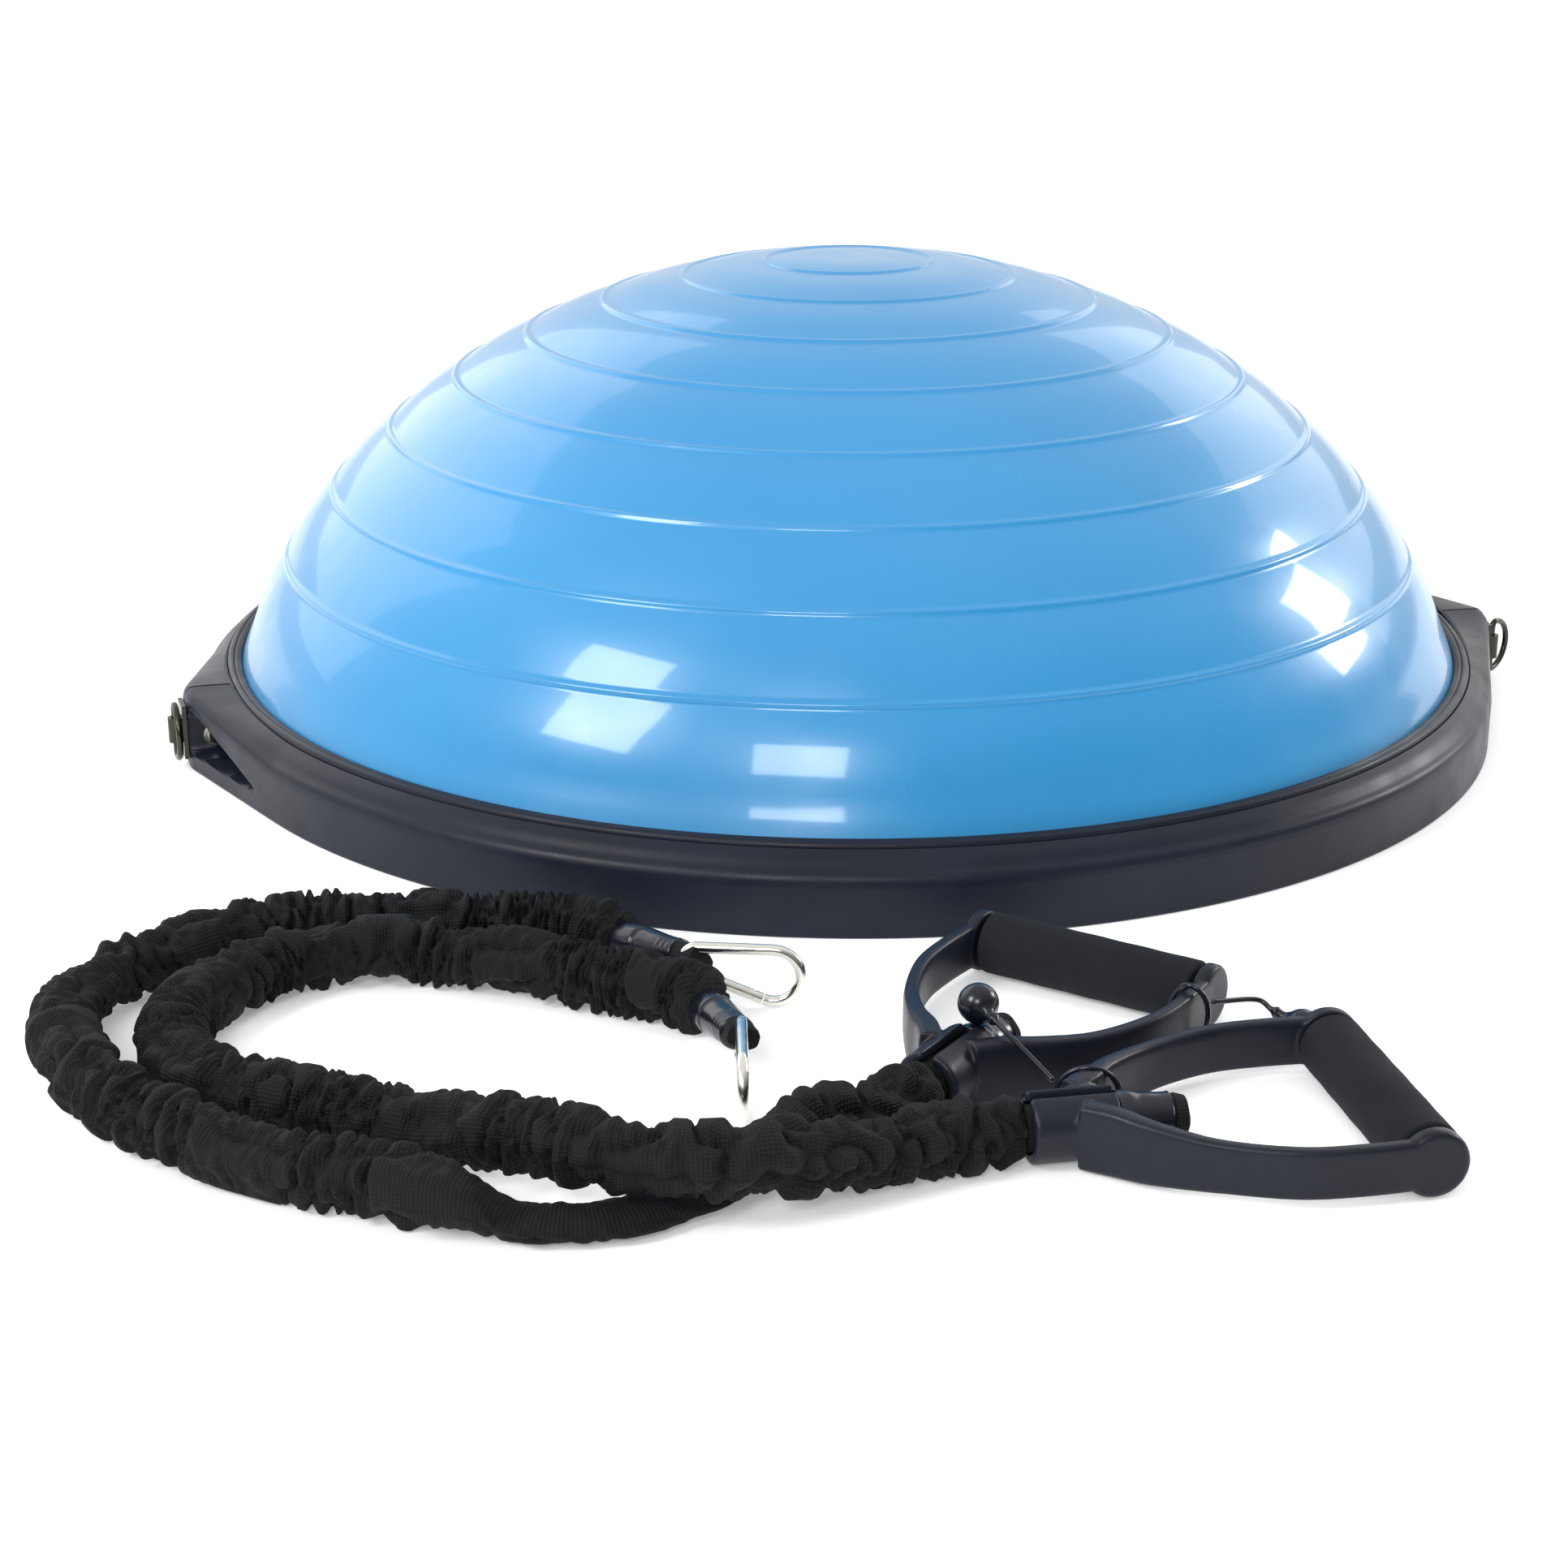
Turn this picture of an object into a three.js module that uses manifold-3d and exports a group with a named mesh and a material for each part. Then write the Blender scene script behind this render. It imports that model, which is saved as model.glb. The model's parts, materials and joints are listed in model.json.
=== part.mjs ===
// Balance dome trainer: an inflated dome clamped in a round platform, with two resistance bands.
// Units are millimetres, +Z is up, and the origin is the centre of the platform's underside.
import * as THREE from 'three';
import { mergeVertices } from 'three/addons/utils/BufferGeometryUtils.js';
import Module from 'manifold-3d';

const wasm = await Module();
wasm.setup();

// ---------------------------------------------------------------- driving dimensions
const GAP = 0.3; // clearance between touching pieces
const ROUND_SIDES = 40; // facets round the large circles
const RIM_SIDES = 72; // facets round the platform's rim and ears
const PLATFORM_RADIUS = 317.5;
const SIDE_HEIGHT = 23; // the rim's side before its top edge rounds over
const SHOULDER = [[1.2, 3], [4, 5.5]]; // inset and rise of the rounded top edge
const WELL_RADIUS = 297; // the hole that the dome sits in
const LEDGE_RADIUS = 305.8;
const LEDGE_HEIGHT = 33;
const BASE_RADIUS = 311.7;
const BASE_THICKNESS = 6;
const ANTI_SLIP = { inner: 270, outer: 288, depth: 3 };
const SCREW = { circle: 304, count: 6, head: 4.7, shank: 2, low: 0.4, neck: 2.6, top: 15 };
const BEAD = [ // cross-section above the ledge, [radius, height]
  [298.8, LEDGE_HEIGHT + GAP], [305.4, LEDGE_HEIGHT + GAP], [305.4, 35.6], [304, 36.8],
  [300.4, 36.8], [298.8, 35.8], [298.8, LEDGE_HEIGHT + GAP],
];

const EAR_ANGLES = { right: 6, left: -160 }; // degrees round +Z
const EAR_REACH = 329; // the flat tip of an ear, from the centre
const EAR_TIP_HALF_WIDTH = 8;
const EAR_RISE = 10; // how much higher the ear's ridge is than the rim's shoulder
const POCKET_FLOOR = 9;
const POCKET_TOP = 30;
const POCKET_START = 9;
const POCKET_END = 80;
const POCKET_INNER = 306.3;

const DOME = { centre: -33, radius: 309, height: 255, wall: 3, foot: 35, floor: 6.4 };
const DOME_STEPS = 9; // facets from the dome's foot to its top
const VALVE = { x: 0, y: -150, bore: 7 };
const PLUG = [[0, 0.5], [6, 0.5], [6, 3], [5, 4], [5, 13], [3.6, 15], [0, 15]];

const D_RING = { hinge: 334, middle: 18, halfHeight: 12.5, depth: 16, wire: 1.5 };
const D_RING_SWING = { right: 45, left: 90 }; // degrees from straight out, towards the pocket
const BRACKET = { thickness: 2, halfWidth: 7, low: 5, high: 31, knuckle: 3.4, halfKnuckle: 6 };
const EAR_BOLT = { out: 317, up: 17, washer: 5.4, bore: 2.6, head: 3.7, headHeight: 3.5 };
const WASHER_THICKNESS = 1.2;

const SLEEVE_RADIUS = 12.5;
const SLEEVE_SIDES = 8;
const FLAT = { x: -62, y: -552, core: 40, reach: 66, height: 9 };

const HANDLE = { reach: 124, axis: 12.8, collar: 30, collarRadius: 12.5, bore: 9, slit: 5 };
const ARM = { thickness: 6, bottom: 3.8, height: 18 };
const ARM_ROUTE = [[20, 9], [34, 24], [54, 38], [78, 47.5], [100, 49.5], [122, 48.5]];
const HUB = { radius: 12, inner: 45.5, outer: 51.5, bossRadius: 5.6, bossLength: 9 };
const GRIP = { foamRadius: 12, coreRadius: 8, boreRadius: 6.2, halfLength: 44.8 };
const HANDLES = [
  { x: 29, y: -477, heading: 58 },
  { x: 62, y: -508, heading: 12 },
];

const CLIP = { wire: 2.2, narrow: 5, wide: 10.5, span: 29, drop: 5.5, sides: 8 };
const CLIPS = [
  { x: -60, y: -382, z: 13.2, heading: -4 },
  { x: -36, y: -445, z: 13.2, heading: -87 },
];
const CUFF = { start: 2, length: 30, radius: 6.6, waist: 5.2 };

// Routes of the two bands on the floor, from the cuff to the handle's neck.
const FLOOR = SLEEVE_RADIUS + GAP;
const HUMP = FLOOR + FLAT.height + GAP;
const ROUTES = [
  [
    [-86, -350, FLOOR], [-93, -343.5, FLOOR], [-104, -339, FLOOR], [-120, -337, FLOOR],
    [-141, -336, FLOOR], [-165, -335, FLOOR], [-191, -335, FLOOR], [-216, -340, FLOOR],
    [-241, -352, FLOOR], [-261, -371, FLOOR], [-275, -391, FLOOR], [-282, -413, FLOOR],
    [-281, -434, FLOOR], [-275, -453, FLOOR], [-264, -473, FLOOR], [-250, -491, FLOOR],
    [-231, -508, FLOOR], [-209, -523, FLOOR], [-184, -536, FLOOR], [-158, -547, FLOOR],
    [-134, -555, FLOOR], [-110, -560, FLOOR], [-92, -562, FLOOR], [-76, -560, FLOOR],
    [-61, -553, FLOOR], [-47, -542, FLOOR], [-35, -528, FLOOR], [-20, -513, FLOOR],
    [-5, -505, FLOOR], [11, -498.5, FLOOR], [22, -488.2, FLOOR], [28.1, -478.4, FLOOR],
  ],
  [
    [-50, -413, FLOOR], [-56.5, -404, FLOOR], [-69, -396, FLOOR], [-86, -388.5, FLOOR],
    [-104, -381, FLOOR], [-124, -373, FLOOR], [-143, -367, FLOOR], [-163, -363, FLOOR],
    [-181, -363, FLOOR], [-198, -367, FLOOR], [-213, -375, FLOOR], [-226, -388, FLOOR],
    [-235, -405, FLOOR], [-240, -424, FLOOR], [-240, -443, FLOOR], [-235, -459, FLOOR],
    [-225, -472, FLOOR], [-211, -483, FLOOR], [-195, -491, FLOOR], [-177, -498, FLOOR],
    [-157, -506, FLOOR], [-137, -514, FLOOR], [-118, -524, FLOOR + 5], [-100, -534, HUMP - 1],
    [-84, -543, HUMP], [-68, -549, HUMP], [-52, -553, HUMP], [-36, -552, HUMP],
    [-20, -547, HUMP - 1], [-3, -537, FLOOR + 4], [14, -526, FLOOR], [31, -517.5, FLOOR],
    [47, -511.2, FLOOR], [60.4, -508.3, FLOOR],
  ],
];

// Moulded rubber ties with a ball at one end, which hold the two handles together.
const TIE = { strand: 1, ball: 7.4, stem: 14, sides: 8 };
const TIES = [
  {
    ball: [48, -446, 30.4], middle: [60, -469, 26.4], end: [71.6, -485, 20],
    loop: { x: 84, y: -486, z: 13.2, heading: 0, halfWidth: 11, halfHeight: 11.8 },
  },
  {
    ball: [168, -416, 8], middle: [152, -406, 15], end: [135, -417.5, 19],
    loop: { x: 126.6, y: -414.2, z: 12.8, heading: -32, halfWidth: 7.6, halfHeight: 11.4 },
  },
];

// ---------------------------------------------------------------- materials
function finish(color, roughness, metalness) {
  return new THREE.MeshStandardMaterial({ color, roughness, metalness });
}
const PLASTIC = finish(0x2d303e, 0.45, 0);
const PVC = finish(0x408cd7, 0.18, 0);
const RUBBER = finish(0x1b1c22, 0.55, 0);
const FABRIC = finish(0x141416, 0.95, 0);
const FOAM = finish(0x1c1d20, 0.9, 0);
const NICKEL = finish(0xc9c8c0, 0.2, 1);
const GUNMETAL = finish(0x44463f, 0.3, 1);

// ---------------------------------------------------------------- geometry helpers
const part = new THREE.Group();
part.name = 'balance_dome_trainer';

function add(name, geometry, material, parent = part) {
  const mesh = new THREE.Mesh(geometry, material);
  mesh.name = name;
  parent.add(mesh);
  return mesh;
}

function toSolid(geometry) {
  let plain = geometry.clone();
  plain.deleteAttribute('normal');
  plain.deleteAttribute('uv');
  plain = mergeVertices(plain, 1e-4);
  const triVerts = new Uint32Array(plain.index.array);
  const vertProperties = new Float32Array(plain.attributes.position.array);
  return new wasm.Manifold(new wasm.Mesh({ numProp: 3, vertProperties, triVerts }));
}

function toGeometry(solid) {
  const mesh = solid.getMesh();
  const geometry = new THREE.BufferGeometry();
  geometry.setAttribute('position', new THREE.BufferAttribute(mesh.vertProperties, 3));
  geometry.setIndex(new THREE.BufferAttribute(mesh.triVerts, 1));
  geometry.computeVertexNormals();
  return geometry;
}

function carve(base, { join = [], cut = [] }) {
  let solid = toSolid(base);
  for (const piece of join) solid = solid.add(toSolid(piece));
  for (const piece of cut) solid = solid.subtract(toSolid(piece));
  return toGeometry(solid);
}

// A closed profile of [radius, height] points, turned about +Z.
function turned(profile, sides = ROUND_SIDES) {
  const points = profile.map(([radius, height]) => new THREE.Vector2(radius, height));
  return new THREE.LatheGeometry(points, sides).rotateX(Math.PI / 2);
}

function disc(radius, low, high, sides = ROUND_SIDES) {
  return turned([[0, low], [radius, low], [radius, high], [0, high]], sides);
}

function ring(inner, outer, low, high, sides = ROUND_SIDES) {
  return turned([[inner, low], [outer, low], [outer, high], [inner, high], [inner, low]], sides);
}

function box(x0, x1, y0, y1, z0, z1) {
  const geometry = new THREE.BoxGeometry(x1 - x0, y1 - y0, z1 - z0);
  return geometry.translate((x0 + x1) / 2, (y0 + y1) / 2, (z0 + z1) / 2);
}

// Turns a piece made about +Z so that it lies along +X or +Y.
function alongX(geometry) {
  return geometry.rotateY(Math.PI / 2);
}

function alongY(geometry) {
  return geometry.rotateX(-Math.PI / 2);
}

// A round bar along a smooth curve through the points.
function bar(points, radius, sides, steps) {
  const curve = new THREE.CatmullRomCurve3(points.map((p) => new THREE.Vector3(...p)));
  const section = new THREE.Shape();
  for (let i = 0; i < sides; i += 1) {
    const turn = (2 * Math.PI * i) / sides;
    const x = radius * Math.cos(turn);
    const y = radius * Math.sin(turn);
    if (i === 0) section.moveTo(x, y);
    else section.lineTo(x, y);
  }
  section.closePath();
  const options = { steps, extrudePath: curve, bevelEnabled: false };
  return new THREE.ExtrudeGeometry(section, options);
}

// A round wire that closes on itself in the XZ plane.
function wireLoop(outline, radius, sides) {
  const count = outline.length;
  const position = [];
  const index = [];
  for (let i = 0; i < count; i += 1) {
    const [x, z] = outline[i];
    const [nextX, nextZ] = outline[(i + 1) % count];
    const [lastX, lastZ] = outline[(i + count - 1) % count];
    const tangent = new THREE.Vector2(nextX - lastX, nextZ - lastZ).normalize();
    for (let j = 0; j < sides; j += 1) {
      const turn = (2 * Math.PI * j) / sides;
      const out = radius * Math.cos(turn);
      position.push(x + out * tangent.y, radius * Math.sin(turn), z - out * tangent.x);
      const a = i * sides + j;
      const b = i * sides + ((j + 1) % sides);
      const c = ((i + 1) % count) * sides + j;
      const d = ((i + 1) % count) * sides + ((j + 1) % sides);
      index.push(a, c, b, b, c, d);
    }
  }
  return closedBody(position, index);
}

function closedBody(position, index) {
  const geometry = new THREE.BufferGeometry();
  geometry.setAttribute('position', new THREE.Float32BufferAttribute(position, 3));
  geometry.setIndex(index);
  if (signedVolume(geometry) < 0) geometry.setIndex(index.slice().reverse());
  geometry.computeVertexNormals();
  return geometry;
}

function signedVolume(geometry) {
  const at = geometry.attributes.position;
  const corner = [new THREE.Vector3(), new THREE.Vector3(), new THREE.Vector3()];
  let volume = 0;
  for (let i = 0; i < geometry.index.count; i += 3) {
    corner.forEach((point, k) => point.fromBufferAttribute(at, geometry.index.getX(i + k)));
    volume += corner[0].dot(corner[1].cross(corner[2])) / 6;
  }
  return volume;
}

// ---------------------------------------------------------------- platform
function radians(degrees) {
  return (degrees * Math.PI) / 180;
}

// How far an ear lifts and widens the rim at one angle: 1 on its ridge, 0 clear of it.
function earAt(angle) {
  const cornerAngle = Math.atan2(EAR_TIP_HALF_WIDTH, EAR_REACH);
  const cornerReach = Math.hypot(EAR_TIP_HALF_WIDTH, EAR_REACH);
  const spread = Math.acos(PLATFORM_RADIUS / cornerReach);
  let best = { radius: PLATFORM_RADIUS, share: 0 };
  for (const degrees of Object.values(EAR_ANGLES)) {
    const wrapped = angle - radians(degrees);
    const offset = Math.abs(Math.atan2(Math.sin(wrapped), Math.cos(wrapped)));
    if (offset < cornerAngle) {
      best = { radius: EAR_REACH / Math.cos(offset), share: 1 };
    } else if (offset < cornerAngle + spread) {
      const left = cornerAngle + spread - offset;
      best = { radius: PLATFORM_RADIUS / Math.cos(left), share: left / spread };
    }
  }
  return best;
}

function platformShell() {
  const angles = [];
  const step = (2 * Math.PI) / RIM_SIDES;
  for (let i = 0; i < RIM_SIDES; i += 1) angles.push(i * step);
  const levels = angles.map((angle) => {
    const { radius, share } = earAt(angle);
    const top = SIDE_HEIGHT + EAR_RISE * share;
    const outline = [[radius, 0], [radius, top]];
    for (const [inset, rise] of SHOULDER) outline.push([radius - inset, top + rise]);
    outline.push([LEDGE_RADIUS, LEDGE_HEIGHT + 1.5 + 3 * share]);
    return outline.map(([r, z]) => [r * Math.cos(angle), r * Math.sin(angle), z]);
  });
  const rings = levels[0].length;
  const position = [];
  const index = [];
  for (let level = 0; level < rings; level += 1) {
    for (const outline of levels) position.push(...outline[level]);
  }
  position.push(0, 0, 0, 0, 0, LEDGE_HEIGHT + 1.5);
  const bottom = rings * RIM_SIDES;
  for (let i = 0; i < RIM_SIDES; i += 1) {
    const next = (i + 1) % RIM_SIDES;
    index.push(bottom, next, i);
    index.push(bottom + 1, (rings - 1) * RIM_SIDES + i, (rings - 1) * RIM_SIDES + next);
    for (let level = 0; level + 1 < rings; level += 1) {
      const low = level * RIM_SIDES;
      const high = low + RIM_SIDES;
      index.push(low + i, low + next, high + next, low + i, high + next, high + i);
    }
  }
  const cuts = [
    disc(WELL_RADIUS, -5, 60),
    disc(LEDGE_RADIUS, LEDGE_HEIGHT, 60),
    disc(BASE_RADIUS + GAP, -5, BASE_THICKNESS + GAP),
    ...Object.values(EAR_ANGLES).map(pocketCutter),
    ...SCREWS.map(({ x, y }) => disc(2.4, 0, 17, 10).translate(x, y, 0)),
  ];
  return carve(closedBody(position, index), { cut: cuts });
}

// The grip pocket under an ear: tall next to the tip and running out to a point.
function pocketCutter(degrees) {
  const outline = new THREE.Shape();
  outline.moveTo(POCKET_START, POCKET_FLOOR);
  outline.lineTo(POCKET_END - 6, POCKET_FLOOR);
  outline.quadraticCurveTo(POCKET_END, POCKET_FLOOR, POCKET_END - 7, POCKET_FLOOR + 3);
  outline.lineTo(POCKET_START + 5, POCKET_TOP - 0.5);
  outline.quadraticCurveTo(POCKET_START, POCKET_TOP, POCKET_START, POCKET_TOP - 4);
  outline.closePath();
  const options = { depth: 40, bevelEnabled: false, curveSegments: 3 };
  const prism = new THREE.ExtrudeGeometry(outline, options);
  // The prism's own X, Y and Z become the ear's tangent, up and outward directions.
  prism.applyMatrix4(new THREE.Matrix4().makeBasis(
    new THREE.Vector3(0, 1, 0), new THREE.Vector3(0, 0, 1), new THREE.Vector3(1, 0, 0)));
  return prism.translate(POCKET_INNER, 0, 0).rotateZ(radians(degrees));
}

const SCREWS = Array.from({ length: SCREW.count }, (_, i) => {
  const turn = (2 * Math.PI * (i + 0.5)) / SCREW.count;
  return { x: SCREW.circle * Math.cos(turn), y: SCREW.circle * Math.sin(turn) };
});

function buildPlatform() {
  add('platform_shell', platformShell(), PLASTIC);
  const plate = carve(disc(BASE_RADIUS, 0, BASE_THICKNESS), {
    cut: [
      ring(ANTI_SLIP.inner - GAP, ANTI_SLIP.outer + GAP, -1, ANTI_SLIP.depth + GAP),
      disc(VALVE.bore, -1, 10, 16).translate(VALVE.x, VALVE.y, 0),
      ...SCREWS.map(({ x, y }) => disc(5.2, -1, 3, 12).translate(x, y, 0)),
      ...SCREWS.map(({ x, y }) => disc(2.6, -1, 10, 10).translate(x, y, 0)),
    ],
  });
  add('base_plate', plate, PLASTIC);
  add('anti_slip_ring', ring(ANTI_SLIP.inner, ANTI_SLIP.outer, 0, ANTI_SLIP.depth), RUBBER);
  add('bead_ring', turned(BEAD), PLASTIC);
  SCREWS.forEach(({ x, y }, i) => {
    const { head, shank, low, neck, top } = SCREW;
    const screw = turned([
      [0, low], [head, low], [head, neck], [shank, neck + 0.1], [shank, top], [0, top + 1],
    ], 10);
    add(`base_screw_${i + 1}`, screw.translate(x, y, 0), GUNMETAL);
  });
}

// ---------------------------------------------------------------- dome
function buildDome() {
  const start = Math.asin((DOME.foot - DOME.centre) / DOME.height);
  const skin = (thickness) => {
    const points = [];
    for (let i = 0; i <= DOME_STEPS; i += 1) {
      const turn = start + ((Math.PI / 2 - start) * i) / DOME_STEPS;
      const radius = (DOME.radius - thickness) * Math.cos(turn);
      const height = DOME.centre + (DOME.height - thickness) * Math.sin(turn);
      points.push([i === DOME_STEPS ? 0 : radius, height]);
    }
    return points;
  };
  const foot = WELL_RADIUS - 0.6;
  const outer = [[0, DOME.floor], [foot - 6, DOME.floor], [foot, 12], [foot, 33], ...skin(0)];
  const inner = skin(DOME.wall).reverse();
  const low = DOME.floor + DOME.wall;
  const profile = [...outer, ...inner, [foot - DOME.wall, 30], [foot - DOME.wall, 14]];
  const bladder = turned([...profile, [foot - 9, low], [0, low]]);
  const bore = disc(VALVE.bore, 0, 20, 16).translate(VALVE.x, VALVE.y, 0);
  add('dome_bladder', carve(bladder, { cut: [bore] }), PVC);
  add('air_plug', turned(PLUG, 16).translate(VALVE.x, VALVE.y, 0), RUBBER);
}

// ---------------------------------------------------------------- D-rings on the ears
function dOutline() {
  const { halfHeight, depth } = D_RING;
  const points = [];
  for (let i = 0; i <= 3; i += 1) points.push([0, -halfHeight * 0.86 + (1.72 * halfHeight * i) / 3]);
  for (let i = 0; i <= 12; i += 1) {
    const turn = Math.PI / 2 - (Math.PI * i) / 12;
    points.push([2 + (depth - 2) * Math.cos(turn), halfHeight * Math.sin(turn)]);
  }
  return points;
}

function buildEars() {
  for (const [side, degrees] of Object.entries(EAR_ANGLES)) {
    const ear = new THREE.Group();
    ear.rotation.z = radians(degrees);
    part.add(ear);
    const { hinge, middle, wire } = D_RING;
    const { thickness, halfWidth, low, high, knuckle, halfKnuckle } = BRACKET;
    const back = EAR_REACH + GAP;
    const front = back + thickness;
    const plate = carve(box(back, front, -halfWidth, halfWidth, low, high), {
      join: [
        box(front - GAP, hinge, -3, 3, middle - halfKnuckle, middle + halfKnuckle),
        disc(knuckle, middle - halfKnuckle, middle + halfKnuckle, 16).translate(hinge, 0, 0),
      ],
      cut: [disc(wire + 0.45, 0, 40, 12).translate(hinge, 0, 0)],
    });
    add(`d_ring_bracket_${side}`, plate, GUNMETAL, ear);
    const loop = wireLoop(dOutline(), wire, 8).rotateZ(radians(D_RING_SWING[side]));
    add(`d_ring_${side}`, loop.translate(hinge, 0, middle), GUNMETAL, ear);
    const { out, up, washer, bore, head, headHeight } = EAR_BOLT;
    const seat = POCKET_START + GAP;
    const washerRing = alongY(ring(bore, washer, seat, seat + WASHER_THICKNESS, 16));
    add(`bracket_washer_${side}`, washerRing.translate(out, 0, up), NICKEL, ear);
    const onWasher = seat + WASHER_THICKNESS + GAP;
    const bolt = alongY(disc(head, onWasher, onWasher + headHeight, 6));
    add(`bracket_bolt_${side}`, bolt.translate(out, 0, up), GUNMETAL, ear);
  }
}

// ---------------------------------------------------------------- handles
// One arm as a strap on edge: an outline either side of its route, pushed up.
function armStrap(side) {
  const route = new THREE.SplineCurve(ARM_ROUTE.map(([x, y]) => new THREE.Vector2(x, side * y)));
  const near = [];
  const far = [];
  for (let i = 0; i <= 12; i += 1) {
    const at = route.getPoint(i / 12);
    const along = route.getTangent(i / 12);
    const across = new THREE.Vector2(-along.y, along.x).multiplyScalar(ARM.thickness / 2);
    near.push(at.clone().add(across));
    far.unshift(at.clone().sub(across));
  }
  const strap = new THREE.ExtrudeGeometry(new THREE.Shape([...near, ...far]), {
    depth: ARM.height, bevelEnabled: false,
  });
  return strap.translate(0, 0, ARM.bottom);
}

function hub(side) {
  const { radius, inner, outer, bossRadius, bossLength } = HUB;
  const profile = [
    [0, inner - bossLength], [bossRadius, inner - bossLength], [bossRadius, inner],
    [radius, inner], [radius, outer - 1], [radius - 1, outer], [0, outer],
  ];
  const piece = alongY(turned(profile, 20));
  if (side < 0) piece.rotateZ(Math.PI);
  return piece.translate(HANDLE.reach, 0, HANDLE.axis);
}

function yoke() {
  const { axis, collar, collarRadius, bore, slit } = HANDLE;
  const neck = alongX(disc(collarRadius, 0, collar, 20)).translate(0, 0, axis);
  const channel = alongX(disc(bore, -1, collar + 8, 16)).translate(0, 0, axis);
  return carve(neck, {
    join: [armStrap(1), armStrap(-1), hub(1), hub(-1)],
    cut: [channel, box(-1, collar + 8, -slit / 2, slit / 2, axis, axis + 20)],
  });
}

function buildHandle({ x, y, heading }, number) {
  const handle = new THREE.Group();
  handle.position.set(x, y, 0);
  handle.rotation.z = radians(heading);
  part.add(handle);
  add(`handle_yoke_${number}`, yoke(), PLASTIC, handle);
  const { foamRadius, coreRadius, boreRadius, halfLength } = GRIP;
  const grip = (inner, outer, half) => alongY(ring(inner, outer, -half, half, 20))
    .translate(HANDLE.reach, 0, HANDLE.axis);
  add(`grip_core_${number}`, grip(boreRadius, coreRadius, halfLength), PLASTIC, handle);
  add(`foam_grip_${number}`, grip(coreRadius + GAP, foamRadius, halfLength - 0.8), FOAM, handle);
  const start = HANDLE.collar + GAP;
  const neck = alongX(disc(HANDLE.bore - 0.8, -1, HANDLE.collar, 14));
  add(`band_neck_${number}`, neck.translate(0, 0, HANDLE.axis), FABRIC, handle);
  const stopper = turned([
    [0, start], [10, start], [10.2, start + 4], [8.6, start + 10], [8.2, start + 19],
    [0, start + 19],
  ], 16);
  add(`band_stopper_${number}`, alongX(stopper).translate(0, 0, HANDLE.axis), RUBBER, handle);
  const end = start + 19 + GAP;
  const tail = alongX(disc(7.4, end, end + 5, 12)).translate(0, 0, HANDLE.axis);
  add(`band_tail_${number}`, tail, FABRIC, handle);
}

// ---------------------------------------------------------------- carabiners
// Points along the wire's centre: two round ends joined by the spine on top.
function clipPoints() {
  const { narrow, wide, span, drop } = CLIP;
  const distance = Math.hypot(span, drop);
  const lean = -Math.atan2(drop, span) - Math.acos(-(wide - narrow) / distance);
  const arc = (x, z, radius, from, to, count) => Array.from({ length: count + 1 }, (_, i) => {
    const turn = from + ((to - from) * i) / count;
    return [x + radius * Math.cos(turn), 0, z + radius * Math.sin(turn)];
  });
  const nose = arc(narrow + span, 0, wide, lean, Math.PI / 2, 9);
  const tail = arc(narrow, drop, narrow, Math.PI / 2, lean + 2 * Math.PI, 7);
  return [...nose, ...tail];
}

// Frame of the gate: its hinge end, its length and its slope in the clip's own plane.
function gateFrame() {
  const points = clipPoints();
  const [noseX, , noseZ] = points[0];
  const [hingeX, , hingeZ] = points[points.length - 1];
  return {
    x: hingeX, z: hingeZ, length: Math.hypot(noseX - hingeX, noseZ - hingeZ),
    slope: Math.atan2(noseZ - hingeZ, noseX - hingeX),
  };
}

function inGate(geometry) {
  const { x, z, slope } = gateFrame();
  return geometry.rotateY(-slope).translate(x, 0, z);
}

const PIN_AT = 4.5; // from the end of the wire to the gate's pin

function buildClip(place, number) {
  const clip = new THREE.Group();
  clip.position.set(place.x, place.y, place.z);
  clip.rotation.z = radians(place.heading);
  part.add(clip);
  const { wire, sides } = CLIP;
  const pinHole = () => alongY(disc(1, -6, 6, 10)).translate(PIN_AT, 0, 0);
  const tongue = inGate(box(-1, PIN_AT + 1.8, -0.9, 0.9, -1.9, 1.9));
  const body = carve(bar(clipPoints(), wire, sides, 30), {
    join: [tongue], cut: [inGate(pinHole())],
  });
  add(`carabiner_${number}`, body, NICKEL, clip);
  const { length } = gateFrame();
  const rod = alongX(disc(wire, 1.2, length - 0.5, 12));
  const gate = carve(rod, {
    cut: [box(0, PIN_AT + 2.6, -1.2, 1.2, -4, 4), pinHole()],
  });
  add(`carabiner_gate_${number}`, inGate(gate), NICKEL, clip);
  const pin = alongY(disc(0.8, -2.3, 2.3, 10)).translate(PIN_AT, 0, 0);
  add(`gate_pin_${number}`, inGate(pin), GUNMETAL, clip);
  return carabinerClearance(place);
}

function carabinerClearance({ x, y, z, heading }) {
  const wire = bar(clipPoints(), CLIP.wire + 0.5, CLIP.sides, 24);
  const swing = inGate(box(-1, 12, -3, 3, -3, 3));
  return [wire, swing].map((piece) => piece.rotateZ(radians(heading)).translate(x, y, z));
}

// ---------------------------------------------------------------- bands
// Presses a band flat where the other one crosses over it.
function flatten(geometry) {
  const at = geometry.attributes.position;
  for (let i = 0; i < at.count; i += 1) {
    const distance = Math.hypot(at.getX(i) - FLAT.x, at.getY(i) - FLAT.y);
    const away = THREE.MathUtils.smoothstep(distance, FLAT.core, FLAT.reach);
    const pressed = FLAT.height / (2 * SLEEVE_RADIUS);
    at.setZ(i, GAP + (at.getZ(i) - GAP) * (pressed + (1 - pressed) * away));
  }
  return geometry;
}

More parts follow.
